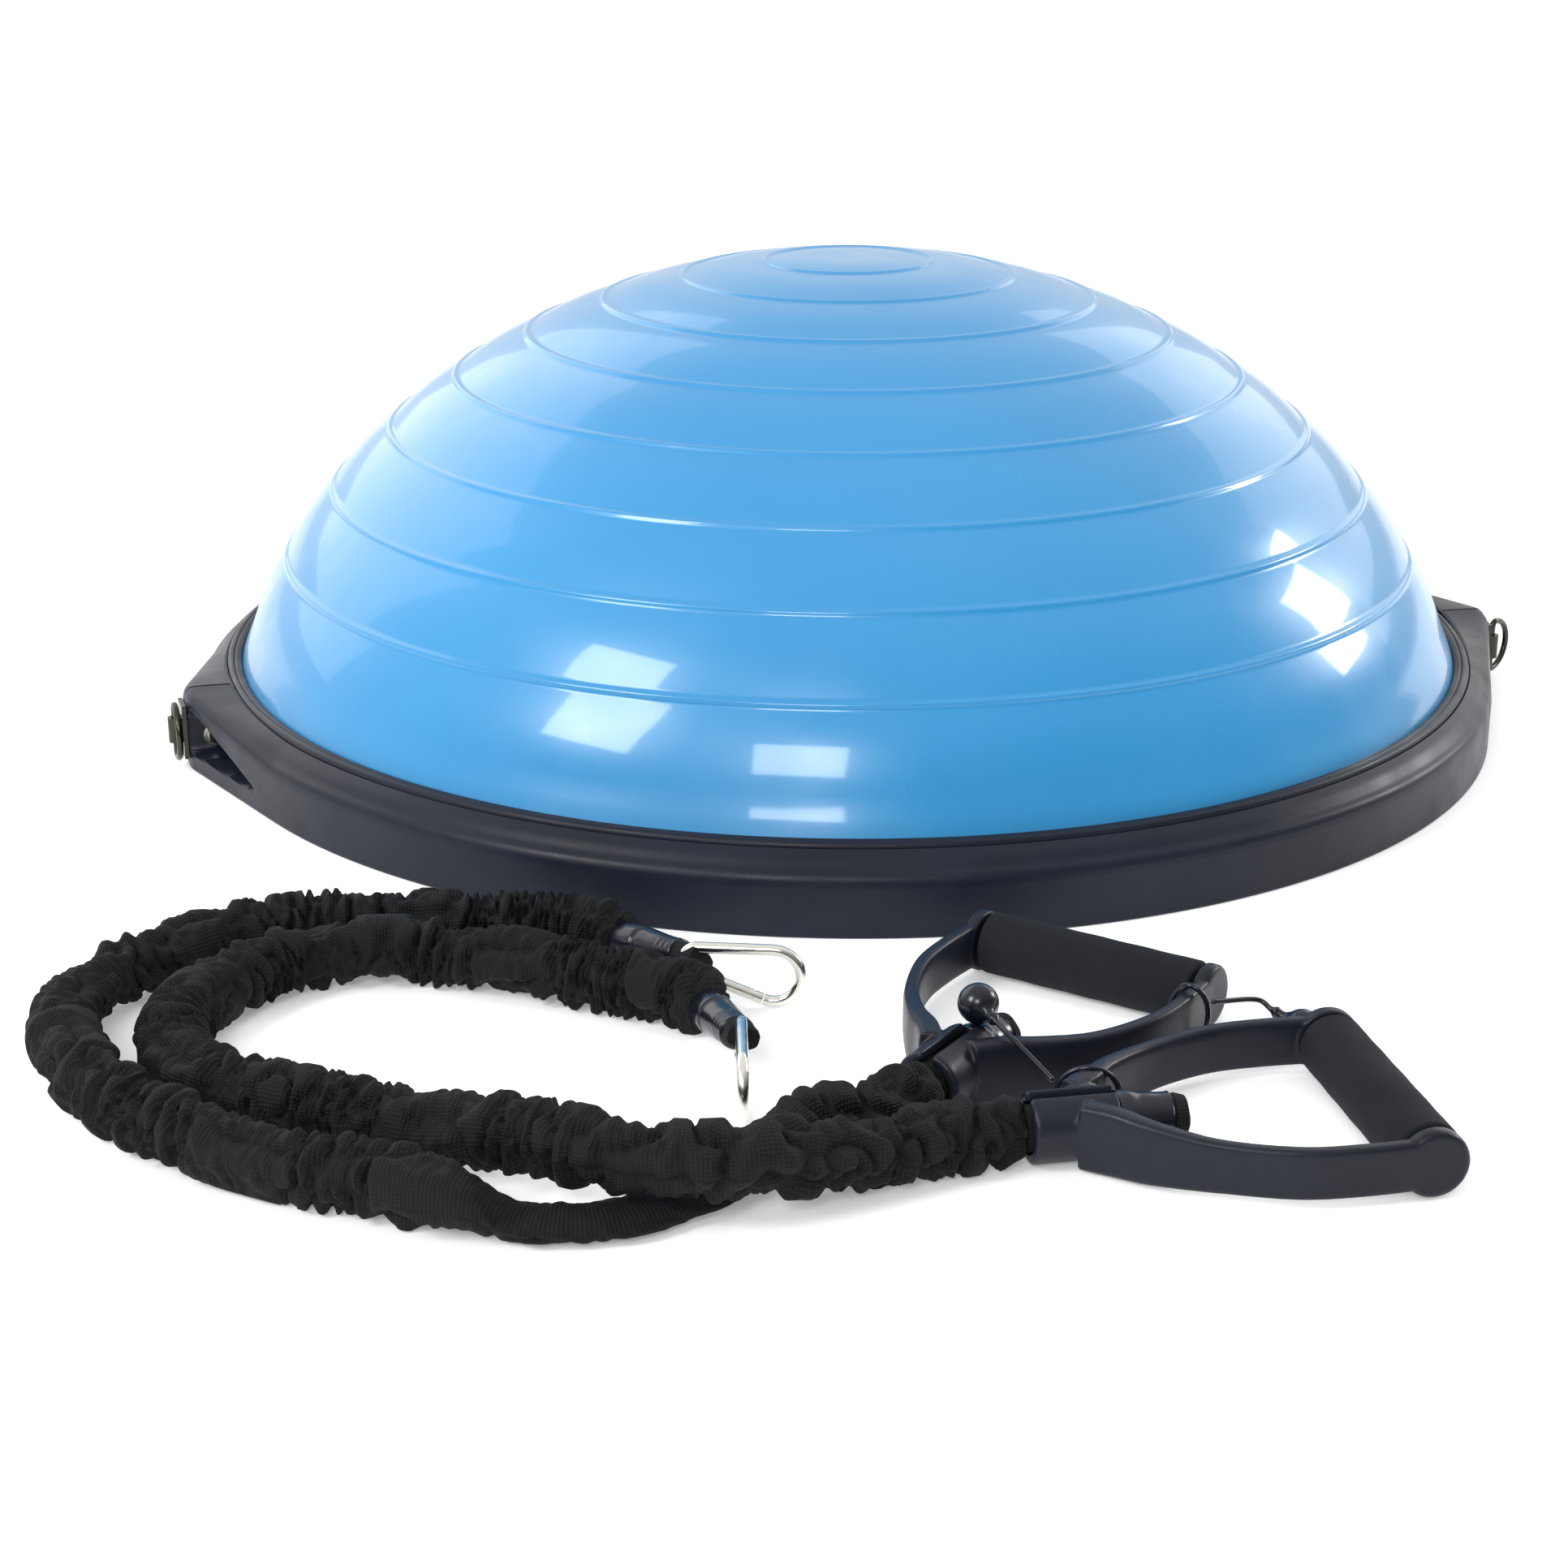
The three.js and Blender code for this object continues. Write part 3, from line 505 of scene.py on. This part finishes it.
def build_world():
    """A white sky that is brighter in one direction than in the other."""
    world = bpy.data.worlds.new("studio")
    bpy.context.scene.world = world
    world.use_nodes = True
    nodes, links = world.node_tree.nodes, world.node_tree.links
    nodes["Background"].inputs["Color"].default_value = (1, 1, 1, 1)
    coordinates = nodes.new("ShaderNodeTexCoord")
    tilt = nodes.new("ShaderNodeVectorMath")
    tilt.operation = "DOT_PRODUCT"
    tilt.inputs[1].default_value = SKY["towards"]
    links.new(coordinates.outputs["Generated"], tilt.inputs[0])
    spread = nodes.new("ShaderNodeMapRange")
    spread.interpolation_type = "SMOOTHSTEP"
    spread.inputs["From Min"].default_value = SKY["tilt"][0]
    spread.inputs["From Max"].default_value = SKY["tilt"][1]
    spread.inputs["To Min"].default_value = SKY["strength"][0]
    spread.inputs["To Max"].default_value = SKY["strength"][1]
    links.new(tilt.outputs["Value"], spread.inputs["Value"])
    links.new(spread.outputs["Result"], nodes["Background"].inputs["Strength"])
    bpy.context.scene.view_settings.view_transform = "Standard"


def build_floor():
    reach = GROUND["reach"]
    corners = [(-reach, -reach, 0), (reach, -reach, 0), (reach, reach, 0), (-reach, reach, 0)]
    mesh = bpy.data.meshes.new("floor")
    mesh.from_pydata(corners, [], [(0, 1, 2, 3)])
    floor = bpy.data.objects.new("floor", mesh)
    made, _, _, shader = material("floor_look", GROUND["colour"], GROUND["roughness"])
    shader.inputs["Emission Color"].default_value = (1, 1, 1, 1)
    shader.inputs["Emission Strength"].default_value = GROUND["glow"]
    mesh.materials.append(made)
    bpy.context.collection.objects.link(floor)


# ---------------------------------------------------------------- bands
def flatten(points):
    """Presses a band flat where the other one crosses over it."""
    distance = np.hypot(points[..., 0] - FLAT["x"], points[..., 1] - FLAT["y"])
    away = smoothstep(distance, FLAT["core"], FLAT["reach"])
    pressed = FLAT["height"] / (2 * SLEEVE_RADIUS)
    points[..., 2] = GAP + (points[..., 2] - GAP) * (pressed + (1 - pressed) * away)
    return points


def gathers(path, number, calm):
    """Radius of every point of a gathered sleeve: puffs with sharp creases between them."""
    turns = np.arange(SLEEVE_SIDES) * 2 * math.pi / SLEEVE_SIDES
    radii = np.empty((len(path), SLEEVE_SIDES))
    for i in range(len(path)):
        run = i * RING_STEP
        drift = noise.noise(Vector((run / GATHER_RUNS["drift"], 3.1 * number, 0)))
        pitch = GATHERS["pitch"] + GATHERS["drift"] * drift
        phase = run / pitch
        for j, turn in enumerate(turns):
            x, y = math.cos(turn), math.sin(turn)
            sway = noise.noise(Vector((run / GATHER_RUNS["lean"], 1.1 * x, 1.1 * y)))
            lean = GATHERS["lean"] * sway
            puff = abs(noise.noise(Vector((phase + lean, 0.75 * x + 7 * number, 0.75 * y))))
            crease = abs(noise.noise(
                Vector((run / GATHER_RUNS["crease"], 1.5 * x, 1.5 * y + 5 * number))))
            bulge = noise.noise(Vector((run / GATHER_RUNS["bulge"], 0.8 * x, 0.8 * y + 9 * number)))
            radii[i, j] = (GATHERS["puff"] * puff ** GATHERS["power"] + GATHERS["crease"] * crease
                           + GATHERS["bulge"] * bulge - GATHERS["level"])
    limited = np.clip(radii, GATHERS["least"], GATHERS["most"])
    return GATHERS["middle"] + calm[:, None] * limited


def build_sleeve(route, number):
    path, length = even(smooth(route[::-1], 12), RING_STEP)
    run = np.linspace(0, length, len(path))
    calm = np.ones(len(path))
    if number == 1:
        from_flat = np.hypot(path[:, 0] - FLAT["x"], path[:, 1] - FLAT["y"])
        away = smoothstep(from_flat, CALM["near"], CALM["far"])
        calm = CALM["least"] + (1 - CALM["least"]) * away
    radii = gathers(path, number, calm)
    share, reach = SLEEVE_ENDS["handle"]
    taper = share + (1 - share) * smoothstep(run, 0, reach)
    share, reach = SLEEVE_ENDS["cuff"]
    taper *= share + (1 - share) * smoothstep(length - run, 0, reach)
    radii *= taper[:, None]
    rings = tube(path, radii, SLEEVE_SIDES)
    rings[..., 2] = np.maximum(rings[..., 2], GAP)
    if number == 1:
        rings = flatten(rings)
        path = flatten(path.copy())
    else:
        lifted = smoothstep(path[:, 2], FLOOR + 3, HUMP - 1)[:, None]
        floor = GAP + lifted * (FLAT["height"] + GAP)
        rings[..., 2] = np.maximum(rings[..., 2], floor)
    points, faces = skin(rings)
    around = np.arange(SLEEVE_SIDES) * 2 * math.pi * SLEEVE_RADIUS / SLEEVE_SIDES
    uvs = [(s * MM, a * MM) for s in run for a in around] + [(0, 0), (length * MM, 0)]
    made = piece(f"gathered_sleeve_{number}", points, faces, "band_set", "sleeve_fabric",
                 [f"band_sleeve_{number}"], sharp=80, uvs=uvs)
    return made, path, length


def build_bands():
    for i, route in enumerate(ROUTES):
        number = i + 1
        sleeve, path, length = build_sleeve(route, number)
        fittings = build_fitting(route[0], number)


def clip_points():
    """The middle line of a carabiner's wire in its own XZ plane."""
    narrow, wide, span, drop = (CLIP[k] for k in ("narrow", "wide", "span", "drop"))
    lean = -math.atan2(drop, span) - math.acos(-(wide - narrow) / math.hypot(span, drop))
    nose = [(narrow + span + wide * math.cos(t), 0, wide * math.sin(t))
            for t in np.linspace(lean, math.pi / 2, 16)]
    tail = [(narrow + narrow * math.cos(t), 0, drop + narrow * math.sin(t))
            for t in np.linspace(math.pi / 2, lean + 2 * math.pi, 14)]
    return np.array(nose + tail)


def in_gate(points):
    """Moves points from the gate's own frame into the carabiner's."""
    line = clip_points()
    slope = math.atan2(line[0][2] - line[-1][2], line[0][0] - line[-1][0])
    c, s = math.cos(slope), math.sin(slope)
    return np.asarray(points, float) @ np.array([[c, 0, -s], [0, 1, 0], [s, 0, c]]).T + line[-1]


def on_clip(points, number):
    """Moves points from a carabiner's own frame to where that carabiner lies."""
    place = CLIPS[number - 1]
    return turn_z(points, place["heading"], (place["x"], place["y"], place["z"]))


def prism(low, high, half_width, half_height):
    """Points and faces of a box along +X, with its middle line on the axis."""
    corners = [(x, y, z) for x in (low, high) for y, z in
               ((-half_width, -half_height), (half_width, -half_height),
                (half_width, half_height), (-half_width, half_height))]
    return skin(np.array(corners).reshape(2, 4, 3))


def build_gate(number, length):
    """The sprung rod of a carabiner, slotted where it sits over the tongue."""
    radius = CLIP["wire"]
    end = length - GATE["trim"]
    notch = length - GATE["notch"]
    neck = radius - GATE["neck"]
    profile = [(0, GATE["low"]), (1.5, GATE["low"]), (radius, 2.2), (radius, notch),
               (neck, notch + 0.2), (neck, notch + 0.6), (radius, notch + 0.8),
               (radius, length - 0.8), (radius - 0.3, end), (0, end)]
    points, faces = skin(along_x(turned(profile, 24)), closed=True)
    rod = scratch(in_gate(points), faces)
    points, faces = prism(0, PIN_AT + 2.6, 1.2, 4)
    slot = scratch(in_gate(points), faces)
    mesh = baked(rod, [("BOOLEAN", {"object": slot, "operation": "DIFFERENCE"})])
    bpy.data.objects.remove(slot)
    place = CLIPS[number - 1]
    mesh.transform(Matrix.Rotation(math.radians(place["heading"]), 4, "Z"))
    mesh.transform(Matrix.Translation(Vector((place["x"], place["y"], place["z"])) * MM))
    return place_piece(f"gate_rod_{number}", mesh, f"gate_{number}", "nickel",
                       [f"carabiner_gate_{number}"])


def build_clip(number):
    line = clip_points()
    path, _ = even(line, 0.9)
    points, faces = skin(tube(path, CLIP["wire"], 20))
    wire = piece(f"carabiner_wire_{number}", on_clip(points, number), faces, "band_set", "nickel",
                 [f"carabiner_{number}"])
    points, faces = prism(-1.2, PIN_AT + 1.6, 0.9, 1.9)
    tongue = piece(f"carabiner_tongue_{number}", on_clip(in_gate(points), number), faces,
                   "band_set", "nickel")
    gate = build_gate(number, math.dist(line[0], line[-1]))
    return [wire, tongue, gate, frame["nodes"][f"gate_pin_{number}"]]


def build_cuff(start, eye, number):
    """The shiny cuff over the end of a sleeve, with a waist and a few wrinkles."""
    steps = np.linspace(1, CUFF_LENGTH, 90)
    line = np.stack([0 * steps, 0 * steps, steps], 1)
    waist = CUFF["waist"] * np.exp(-((steps - CUFF["waist_at"]) / 0.9) ** 2)
    wrinkles = 0.16 * np.sin(steps * 2.1) * smoothstep(steps, 24, 30)
    bulge = (CUFF["radius"] + CUFF["swell"] * np.sin((steps - 2) / 5)
             - CUFF["narrowing"] * smoothstep(steps, 22, 34))
    radii = np.repeat((bulge - waist + wrinkles)[:, None], CUFF_SIDES, axis=1)
    turns = np.arange(CUFF_SIDES) * 2 * math.pi / CUFF_SIDES
    radii *= 1 + 0.05 * np.cos(2 * turns)[None, :] * smoothstep(steps, 12, CUFF_LENGTH)[:, None]
    radii[0] *= 0.93
    radii[-1] *= 0.93
    points, faces = skin(tube(line, radii, CUFF_SIDES))
    return piece(f"shiny_cuff_{number}", towards(points, start, eye), faces, "band_set",
                 "cord_rubber", [f"band_cuff_{number}"], sharp=60)


def build_tab(start, eye, number):
    """The fabric tab from the cuff to the carabiner, which goes from round to flat."""
    whole = float(np.linalg.norm(eye - np.array(start)))
    low = CUFF_LENGTH - TAB["overlap"]
    high = whole + TAB["past_eye"]
    reach = np.linspace(low, high, 26)
    turns = np.arange(TAB_SIDES) * 2 * math.pi / TAB_SIDES
    power = 0.6
    across = np.sign(np.cos(turns)) * np.abs(np.cos(turns)) ** power
    up = np.sign(np.sin(turns)) * np.abs(np.sin(turns)) ** power
    rings = []
    for height, flat in zip(reach, smoothstep(reach, low, CUFF_LENGTH + 6)):
        wide = TAB["radius"] + TAB["widening"] * flat
        thin = TAB["radius"] - TAB["thinning"] * flat
        shrink = 1 - 0.2 * smoothstep(height, whole + 1, high)
        rings.append(np.stack([wide * across, thin * shrink * up,
                               np.full(TAB_SIDES, height)], 1))
    points, faces = skin(rings)
    uvs = [(h * MM, a * MM) for h in reach for a in turns * 5.5] + [(0, 0), (0, 0)]
    return piece(f"woven_tab_{number}", towards(points, start, eye), faces, "band_set",
                 "sleeve_fabric", [f"band_tab_{number}"], sharp=60, uvs=uvs)


def build_fitting(start, number):
    """The cuff, fabric tab and carabiner on the end of a band."""
    eye = on_clip([(CLIP["narrow"], 0, CLIP["drop"])], number)[0]
    cuff = build_cuff(start, eye, number)
    tab = build_tab(start, eye, number)
    return [cuff, tab, *build_clip(number)]


# ---------------------------------------------------------------- platform
def ear_at(angle):
    """The rim's radius at an angle, and how far the ear lifts it, from 0 to 1."""
    corner = math.atan2(EAR_TIP_HALF_WIDTH, EAR_REACH)
    spread = math.acos(PLATFORM_RADIUS / math.hypot(EAR_TIP_HALF_WIDTH, EAR_REACH))
    for degrees in EAR_ANGLES.values():
        offset = abs(math.remainder(angle - math.radians(degrees), 2 * math.pi))
        if offset < corner:
            return EAR_REACH / math.cos(offset), 1 - EAR_FALL * offset / corner
        if offset < corner + spread:
            left = corner + spread - offset
            return PLATFORM_RADIUS / math.cos(left), (1 - EAR_FALL) * left / spread
    return PLATFORM_RADIUS, 0.0


def soft_ear(angle):
    """ear_at with its corners rounded by averaging over a small arc."""
    around = [ear_at(angle + math.radians(step)) for step in (-0.5, -0.25, 0, 0.25, 0.5)]
    return tuple(np.mean(around, axis=0))


def rim_angles():
    """Angles round the rim in degrees, close together near the ears."""
    angles = []
    at = -180.0
    while at < 180 - 1e-6:
        angles.append(at)
        offset = min(abs(math.remainder(at - e, 360)) for e in EAR_ANGLES.values())
        at += 0.1 if offset < 1 else 0.25 if offset < EAR_SPAN else 1.0
    return angles


def pocket_depth(along, height):
    """How far inside the pocket's outline a point on the ear's side is, in millimetres."""
    slope = math.atan2(POCKET["top"] - POCKET["floor"], POCKET["end"] - POCKET["start"] - 5)
    under = ((POCKET["end"] - along) * math.sin(slope)
             - (height - POCKET["floor"]) * math.cos(slope))
    walls = np.stack([along - POCKET["start"], height - POCKET["floor"],
                      POCKET["top"] - height, under])
    soft = POCKET["soft"]
    return -soft * np.log(np.exp(-walls / soft).sum(axis=0))


def build_platform():
    rings = []
    lip = POCKET["lip"]
    for degrees in rim_angles():
        angle = math.radians(degrees)
        radius, share = soft_ear(angle)
        top = SIDE_HEIGHT + EAR_RISE * share
        ledge = LEDGE_HEIGHT + 1.5 + 3 * share
        side = [(radius, z) for z in np.linspace(0.8, top - 1, 34)]
        crown = smooth([(radius, top - 1), (radius - 0.5, top + 1.6), (radius - 1.7, top + 3.7),
                        (radius - 4, top + 5.5 - 0.4 * share),
                        (radius * 0.4 + LEDGE_RADIUS * 0.6, (top + 5.5) * 0.45 + ledge * 0.55),
                        (LEDGE_RADIUS + 0.8, ledge)], 6)
        outline = np.array([
            (WELL_RADIUS, RECESS_HEIGHT), (RECESS_RADIUS, RECESS_HEIGHT), (RECESS_RADIUS, 0),
            (radius - 0.8, 0), *side, *crown[1:], (LEDGE_RADIUS, ledge - 0.5),
            (LEDGE_RADIUS, LEDGE_HEIGHT), (WELL_RADIUS, LEDGE_HEIGHT)])
        for ear in EAR_ANGLES.values():
            offset = math.remainder(degrees - ear, 360)
            if abs(offset) < EAR_SPAN:
                along = outline[:, 0] * math.sin(math.radians(offset))
                depth = smoothstep(pocket_depth(along, outline[:, 1]), -0.6, lip - 0.6)
                inner = POCKET["inner"] / math.cos(math.radians(offset))
                outside = outline[:, 0] > inner
                outline[:, 0] -= np.where(outside, depth * (outline[:, 0] - inner), 0)
                on_top = (outline[:, 1] > top) & (outline[:, 0] > LEDGE_RADIUS + 1)
                groove = math.exp(-(offset / RIDGE_LINE["half_width"]) ** 2)
                outline[:, 1] -= np.where(on_top, RIDGE_LINE["depth"] * groove, 0)
        rings.append([(r * math.cos(angle), r * math.sin(angle), z) for r, z in outline])
    points, faces = skin(rings, closed=True)
    piece("moulded_platform", points, faces, "trainer", "platform_plastic",
          ["platform_shell"], sharp=50)
    bead = smooth([(298.8, 33.3), (305.4, 33.3), (305.5, 35.7), (304.3, 36.7), (302.8, 36.8),
                   (302.3, 36.3), (301.8, 36.8), (300.4, 36.7), (298.9, 35.8)], 3, closed=True)
    points, faces = skin(turned(bead, 240), closed=True)
    piece("grooved_bead", points, faces, "trainer", "platform_plastic", ["bead_ring"], sharp=60)


# ---------------------------------------------------------------- dome
def dome_skin(thickness, detailed):
    """The dome's profile from its foot to its top, with ribs if it is the outside."""
    start = math.asin((DOME["foot"] - DOME["centre"]) / DOME["height"])
    turns = np.linspace(start, math.pi / 2, DOME_STEPS)
    line = np.stack([(DOME["radius"] - thickness) * np.cos(turns),
                     DOME["centre"] + (DOME["height"] - thickness) * np.sin(turns)], 1)
    steps = np.linalg.norm(np.diff(line, axis=0), axis=1)
    from_top = np.r_[np.cumsum(steps[::-1])[::-1], 0]
    if not detailed:
        return line[::KEPT_POINTS["inside"]]
    past = np.abs((from_top + RIB_SPACING / 2) % RIB_SPACING - RIB_SPACING / 2)
    ribbed = (from_top > RIB_SPACING / 2) & (from_top < RIB_SPACING * (RIB_COUNT + 0.5))
    out = np.where(ribbed, RIB["height"] * np.exp(-(past / RIB["spread"]) ** 2), 0)
    swell = RIB["swell"] * np.sin(math.pi * (from_top % RIB_SPACING) / RIB_SPACING)
    out += swell * smoothstep(from_top, 2, RIB_SPACING)
    normal = np.stack([np.cos(turns) / DOME["radius"], np.sin(turns) / DOME["height"]], 1)
    normal /= np.linalg.norm(normal, axis=1)[:, None]
    line = line + normal * out[:, None]
    near = (past < RIB_REACH) & ribbed
    fine, coarse = KEPT_POINTS["rib"], KEPT_POINTS["plain"]
    keep = [i for i in range(len(line)) if (near[i] and i % fine == 0) or i % coarse == 0]
    return line[keep]


def build_dome():
    foot = WELL_RADIUS - 0.6
    low = DOME["floor"] + DOME["wall"]
    outside = dome_skin(0, True)
    inside = dome_skin(DOME["wall"], False)[::-1]
    profile = [(0, DOME["floor"]), (foot - 6, DOME["floor"]), (foot, 12), (foot, 33),
               *outside.tolist(), (0, DOME["centre"] + DOME["height"] + RIB["height"] / 4),
               (0, DOME["centre"] + DOME["height"] - DOME["wall"]), *inside.tolist(),
               (foot - 3, 30), (foot - 3, 14), (foot - 9, low), (0, low)]
    points, faces = skin(turned(profile, DOME_SIDES), closed=True)
    piece("ribbed_dome", points, faces, "trainer", "dome_pvc", ["dome_bladder"], sharp=60)


# ---------------------------------------------------------------- D-rings
def build_d_rings():
    half, depth = D_RING["half_height"], D_RING["depth"]
    outline = [(0, 0, z) for z in np.linspace(-half * 0.86, half * 0.86, 5)]
    outline += [(2 + (depth - 2) * math.cos(t), 0, half * math.sin(t))
                for t in np.linspace(math.pi / 2, -math.pi / 2, 13)]
    path = smooth(outline, 4, closed=True)
    for side, degrees in EAR_ANGLES.items():
        points, faces = skin(tube(path, D_RING["wire"], 16, closed=True), closed=True)
        points = turn_z(points, D_RING_SWING[side], (D_RING["hinge"], 0, D_RING["middle"]))
        piece(f"d_ring_wire_{side}", turn_z(points, degrees), faces, f"d_ring_{side}",
              "dark_steel", [f"d_ring_{side}"])


# ---------------------------------------------------------------- handles
def arm(side):
    """One arm of the yoke: a strap on edge that widens into the collar's shoulder."""
    controls = np.array([(x, side * y, h, w)
                         for (x, y), h, w in zip(ARM_ROUTE, ARM_HEIGHTS, ARM_WIDTHS)])
    line = smooth(controls, 8)
    along = np.gradient(line[:, :2], axis=0)
    along /= np.linalg.norm(along, axis=1)[:, None]
    across = np.stack([-along[:, 1], along[:, 0]], 1)
    turns = np.arange(24) * 2 * math.pi / 24
    wide = np.sign(np.cos(turns)) * np.abs(np.cos(turns)) ** 0.4
    tall = np.sign(np.sin(turns)) * np.abs(np.sin(turns)) ** 0.4
    rings = []
    for (x, y, height, width), (ax, ay) in zip(line, across):
        rings.append(np.stack([x + ax * wide * width / 2, y + ay * wide * width / 2,
                               AXIS + tall * height / 2], 1))
    return skin(rings)


def hub(side):
    inner, outer, radius = HUB["inner"], HUB["outer"], HUB["radius"]
    profile = [(0, inner - HUB["boss_length"]), (HUB["boss"], inner - HUB["boss_length"]),
               (HUB["boss"], inner), (radius - 0.4, inner), (radius, inner + 0.5),
               (radius, outer - 1.8), (radius - 0.6, outer - 0.6), (radius - 2, outer), (0, outer)]
    points, faces = skin(along_y(turned(profile, 48)), closed=True)
    return np.array(points) * (1, side, 1) + (REACH, 0, AXIS), faces


def collar():
    """The neck tube with its slit on top."""
    gap = math.asin(COLLAR["slit"] / 2 / COLLAR["outer"])
    sweep = np.linspace(math.pi / 2 + gap, math.pi * 2.5 - gap, 60)
    rings = []
    for x, trim in ((0, 0.9), (0.9, 0), (10, 0), (17, 0), (COLLAR["length"], 0)):
        outside = [(x, (COLLAR["outer"] - trim) * math.cos(t),
                    AXIS + (COLLAR["outer"] - trim) * math.sin(t)) for t in sweep]
        inside = [(x, (COLLAR["inner"] + trim / 2) * math.cos(t),
                   AXIS + (COLLAR["inner"] + trim / 2) * math.sin(t)) for t in sweep[::-1]]
        rings.append(outside + inside)
    return skin(rings)


def on_handle(points, number):
    """Moves points from a handle's own frame to where that handle lies."""
    place = HANDLES[number - 1]
    return turn_z(points, place["heading"], (place["x"], place["y"], 0))


def build_yoke(number):
    """Collar, arms and hubs melted into one moulding, with the band's channel cut out."""
    points, faces = [], []
    for some, more in (collar(), arm(1), arm(-1), hub(1), hub(-1)):
        faces += [tuple(i + len(points) for i in face) for face in more]
        points += np.asarray(some, float).tolist()
    joined = scratch(on_handle(points, number), faces)
    bore = [(0, -2), (COLLAR["inner"], -2), (COLLAR["inner"], 44), (0, 44)]
    points, faces = skin(along_x(turned(bore, 40)), closed=True)
    channel = scratch(on_handle(np.array(points) + (0, 0, AXIS), number), faces)
    mesh = baked(joined, [
        ("REMESH", {"mode": "VOXEL", "voxel_size": REMESH_CELL * MM}),
        ("BOOLEAN", {"object": channel, "operation": "DIFFERENCE"}),
        ("SMOOTH", {"factor": 0.5, "iterations": 7}),
    ])
    bpy.data.objects.remove(channel)
    place_piece(f"yoke_body_{number}", mesh, "band_set", "handle_plastic",
                [f"handle_yoke_{number}"], sharp=80)


def build_grip(number):
    """The foam tube, slightly uneven, with rounded ends."""
    half, radius, edge = GRIP["half"], GRIP["radius"], GRIP["edge"]
    corner = [(radius - edge + edge * math.cos(t), half - edge + edge * math.sin(t))
              for t in np.linspace(0, math.pi / 2, 6)]
    middle = [(radius - GRIP["dent"] * math.sin(z / 6) ** 2, z)
              for z in np.linspace(-half + 1.8, half - 1.8, 26)]
    profile = [(GRIP["bore"], -half), *[(r, -z) for r, z in corner[::-1]], *middle, *corner,
               (GRIP["bore"], half)]
    points, faces = skin(along_y(turned(profile, 56)), closed=True)
    foam = piece(f"padded_grip_{number}", on_handle(np.array(points) + (REACH, 0, AXIS), number),
                 faces, f"grip_{number}", "foam", [f"foam_grip_{number}"], sharp=60)


def build_stopper(number):
    """The rubber plug on the band's end, between the yoke's arms."""
    start = COLLAR["length"] + GAP
    profile = smooth([(0.01, start), (9.4, start), (10.1, start + 2), (10.2, start + 5),
                      (9.2, start + 8), (9.0, start + 11), (8.5, start + 15),
                      (8.3, start + STOPPER_LENGTH - 0.5), (7.9, start + STOPPER_LENGTH),
                      (0.01, start + STOPPER_LENGTH)], 3)
    points, faces = skin(along_x(turned(profile, 40)), closed=True)
    piece(f"shiny_stopper_{number}", on_handle(np.array(points) + (0, 0, AXIS), number), faces,
          "band_set", "cord_rubber", [f"band_stopper_{number}"], sharp=60)


def build_tail(number):
    """The sleeve's own end, where it comes out of the stopper."""
    end = COLLAR["length"] + GAP + STOPPER_LENGTH + 0.2
    turns = np.arange(48) * 2 * math.pi / 48
    rings = []
    for depth, reach in zip(TAIL["depths"], TAIL["radii"]):
        wave = reach * (1 + 0.035 * np.sin(5 * turns + depth))
        rings.append(np.stack([np.full(48, end + depth), wave * np.cos(turns),
                               AXIS + wave * np.sin(turns)], 1))
    points, faces = skin(rings)
    uvs = [(d * MM, t * 7.4 * MM) for d in TAIL["depths"] for t in turns] + [(0, 0), (0, 0)]
    piece(f"woven_tail_{number}", on_handle(points, number), faces, "band_set", "sleeve_fabric",
          [f"band_tail_{number}"], sharp=60, uvs=uvs)


# ---------------------------------------------------------------- ball ties
def build_tie(number):
    tie = TIES[number - 1]
    turns = np.linspace(0, 2 * math.pi, 28, endpoint=False)
    wide, tall = tie["size"]
    loop = [(wide * math.cos(t), 0.5 * math.sin(3 * t), tall * math.sin(t)) for t in turns]
    points, faces = skin(tube(smooth(loop, 4, closed=True), TIE["strand"], 12, closed=True),
                         closed=True)
    piece(f"tie_hoop_{number}", turn_z(points, tie["heading"], tie["loop"]), faces, "band_set",
          "cord_rubber", [f"tie_loop_{number}"])
    radius = TIE["ball"]
    ball = [(max(radius * math.sin(t), 0.01), radius * math.cos(t))
            for t in np.linspace(math.pi, 0.5, 20)]
    neck = smooth([ball[-1], (2.1, 8.2), (1.9, 10.4), (2.3, 11.4), (1.3, 13), (1, TIE["stem"])], 4)
    profile = [*ball, *neck[1:].tolist(), (0.01, TIE["stem"])]
    points, faces = skin(turned(profile, 40), closed=True)
    piece(f"moulded_ball_{number}", towards(points, tie["ball"], tie["middle"]), faces,
          "band_set", "cord_rubber", [f"tie_ball_{number}"], sharp=60)
    start = Vector(tie["ball"])
    start += (Vector(tie["middle"]) - start).normalized() * (TIE["stem"] - 0.6)
    path = smooth([tuple(start), tie["middle"], tie["end"]], 10)
    path, radii = rounded_ends(path, TIE["strand"])
    points, faces = skin(tube(path, radii, 14))
    piece(f"rubber_strand_{number}", points, faces, "band_set", "cord_rubber",
          [f"tie_strand_{number}"])


def dress_cad_nodes():
    """Gives every CAD node its procedural material; the ones not replaced stay in view."""
    slots = {row["node"]: row["material_slot"] for row in frame["record"]["subparts"]}
    for name, made in frame["nodes"].items():
        made.data.materials.clear()
        made.data.materials.append(LOOKS[slots[name]])
        if slots[name] == "sleeve_fabric" and not made.data.uv_layers:
            made.data.uv_layers.new(name="cloth")


build_camera()
build_world()
build_floor()
build_lights()
build_bands()
build_platform()
build_dome()
build_d_rings()
for handle in (1, 2):
    build_yoke(handle)
    build_grip(handle)
    build_stopper(handle)
    build_tail(handle)
build_tie(1)
build_tie(2)
dress_cad_nodes()
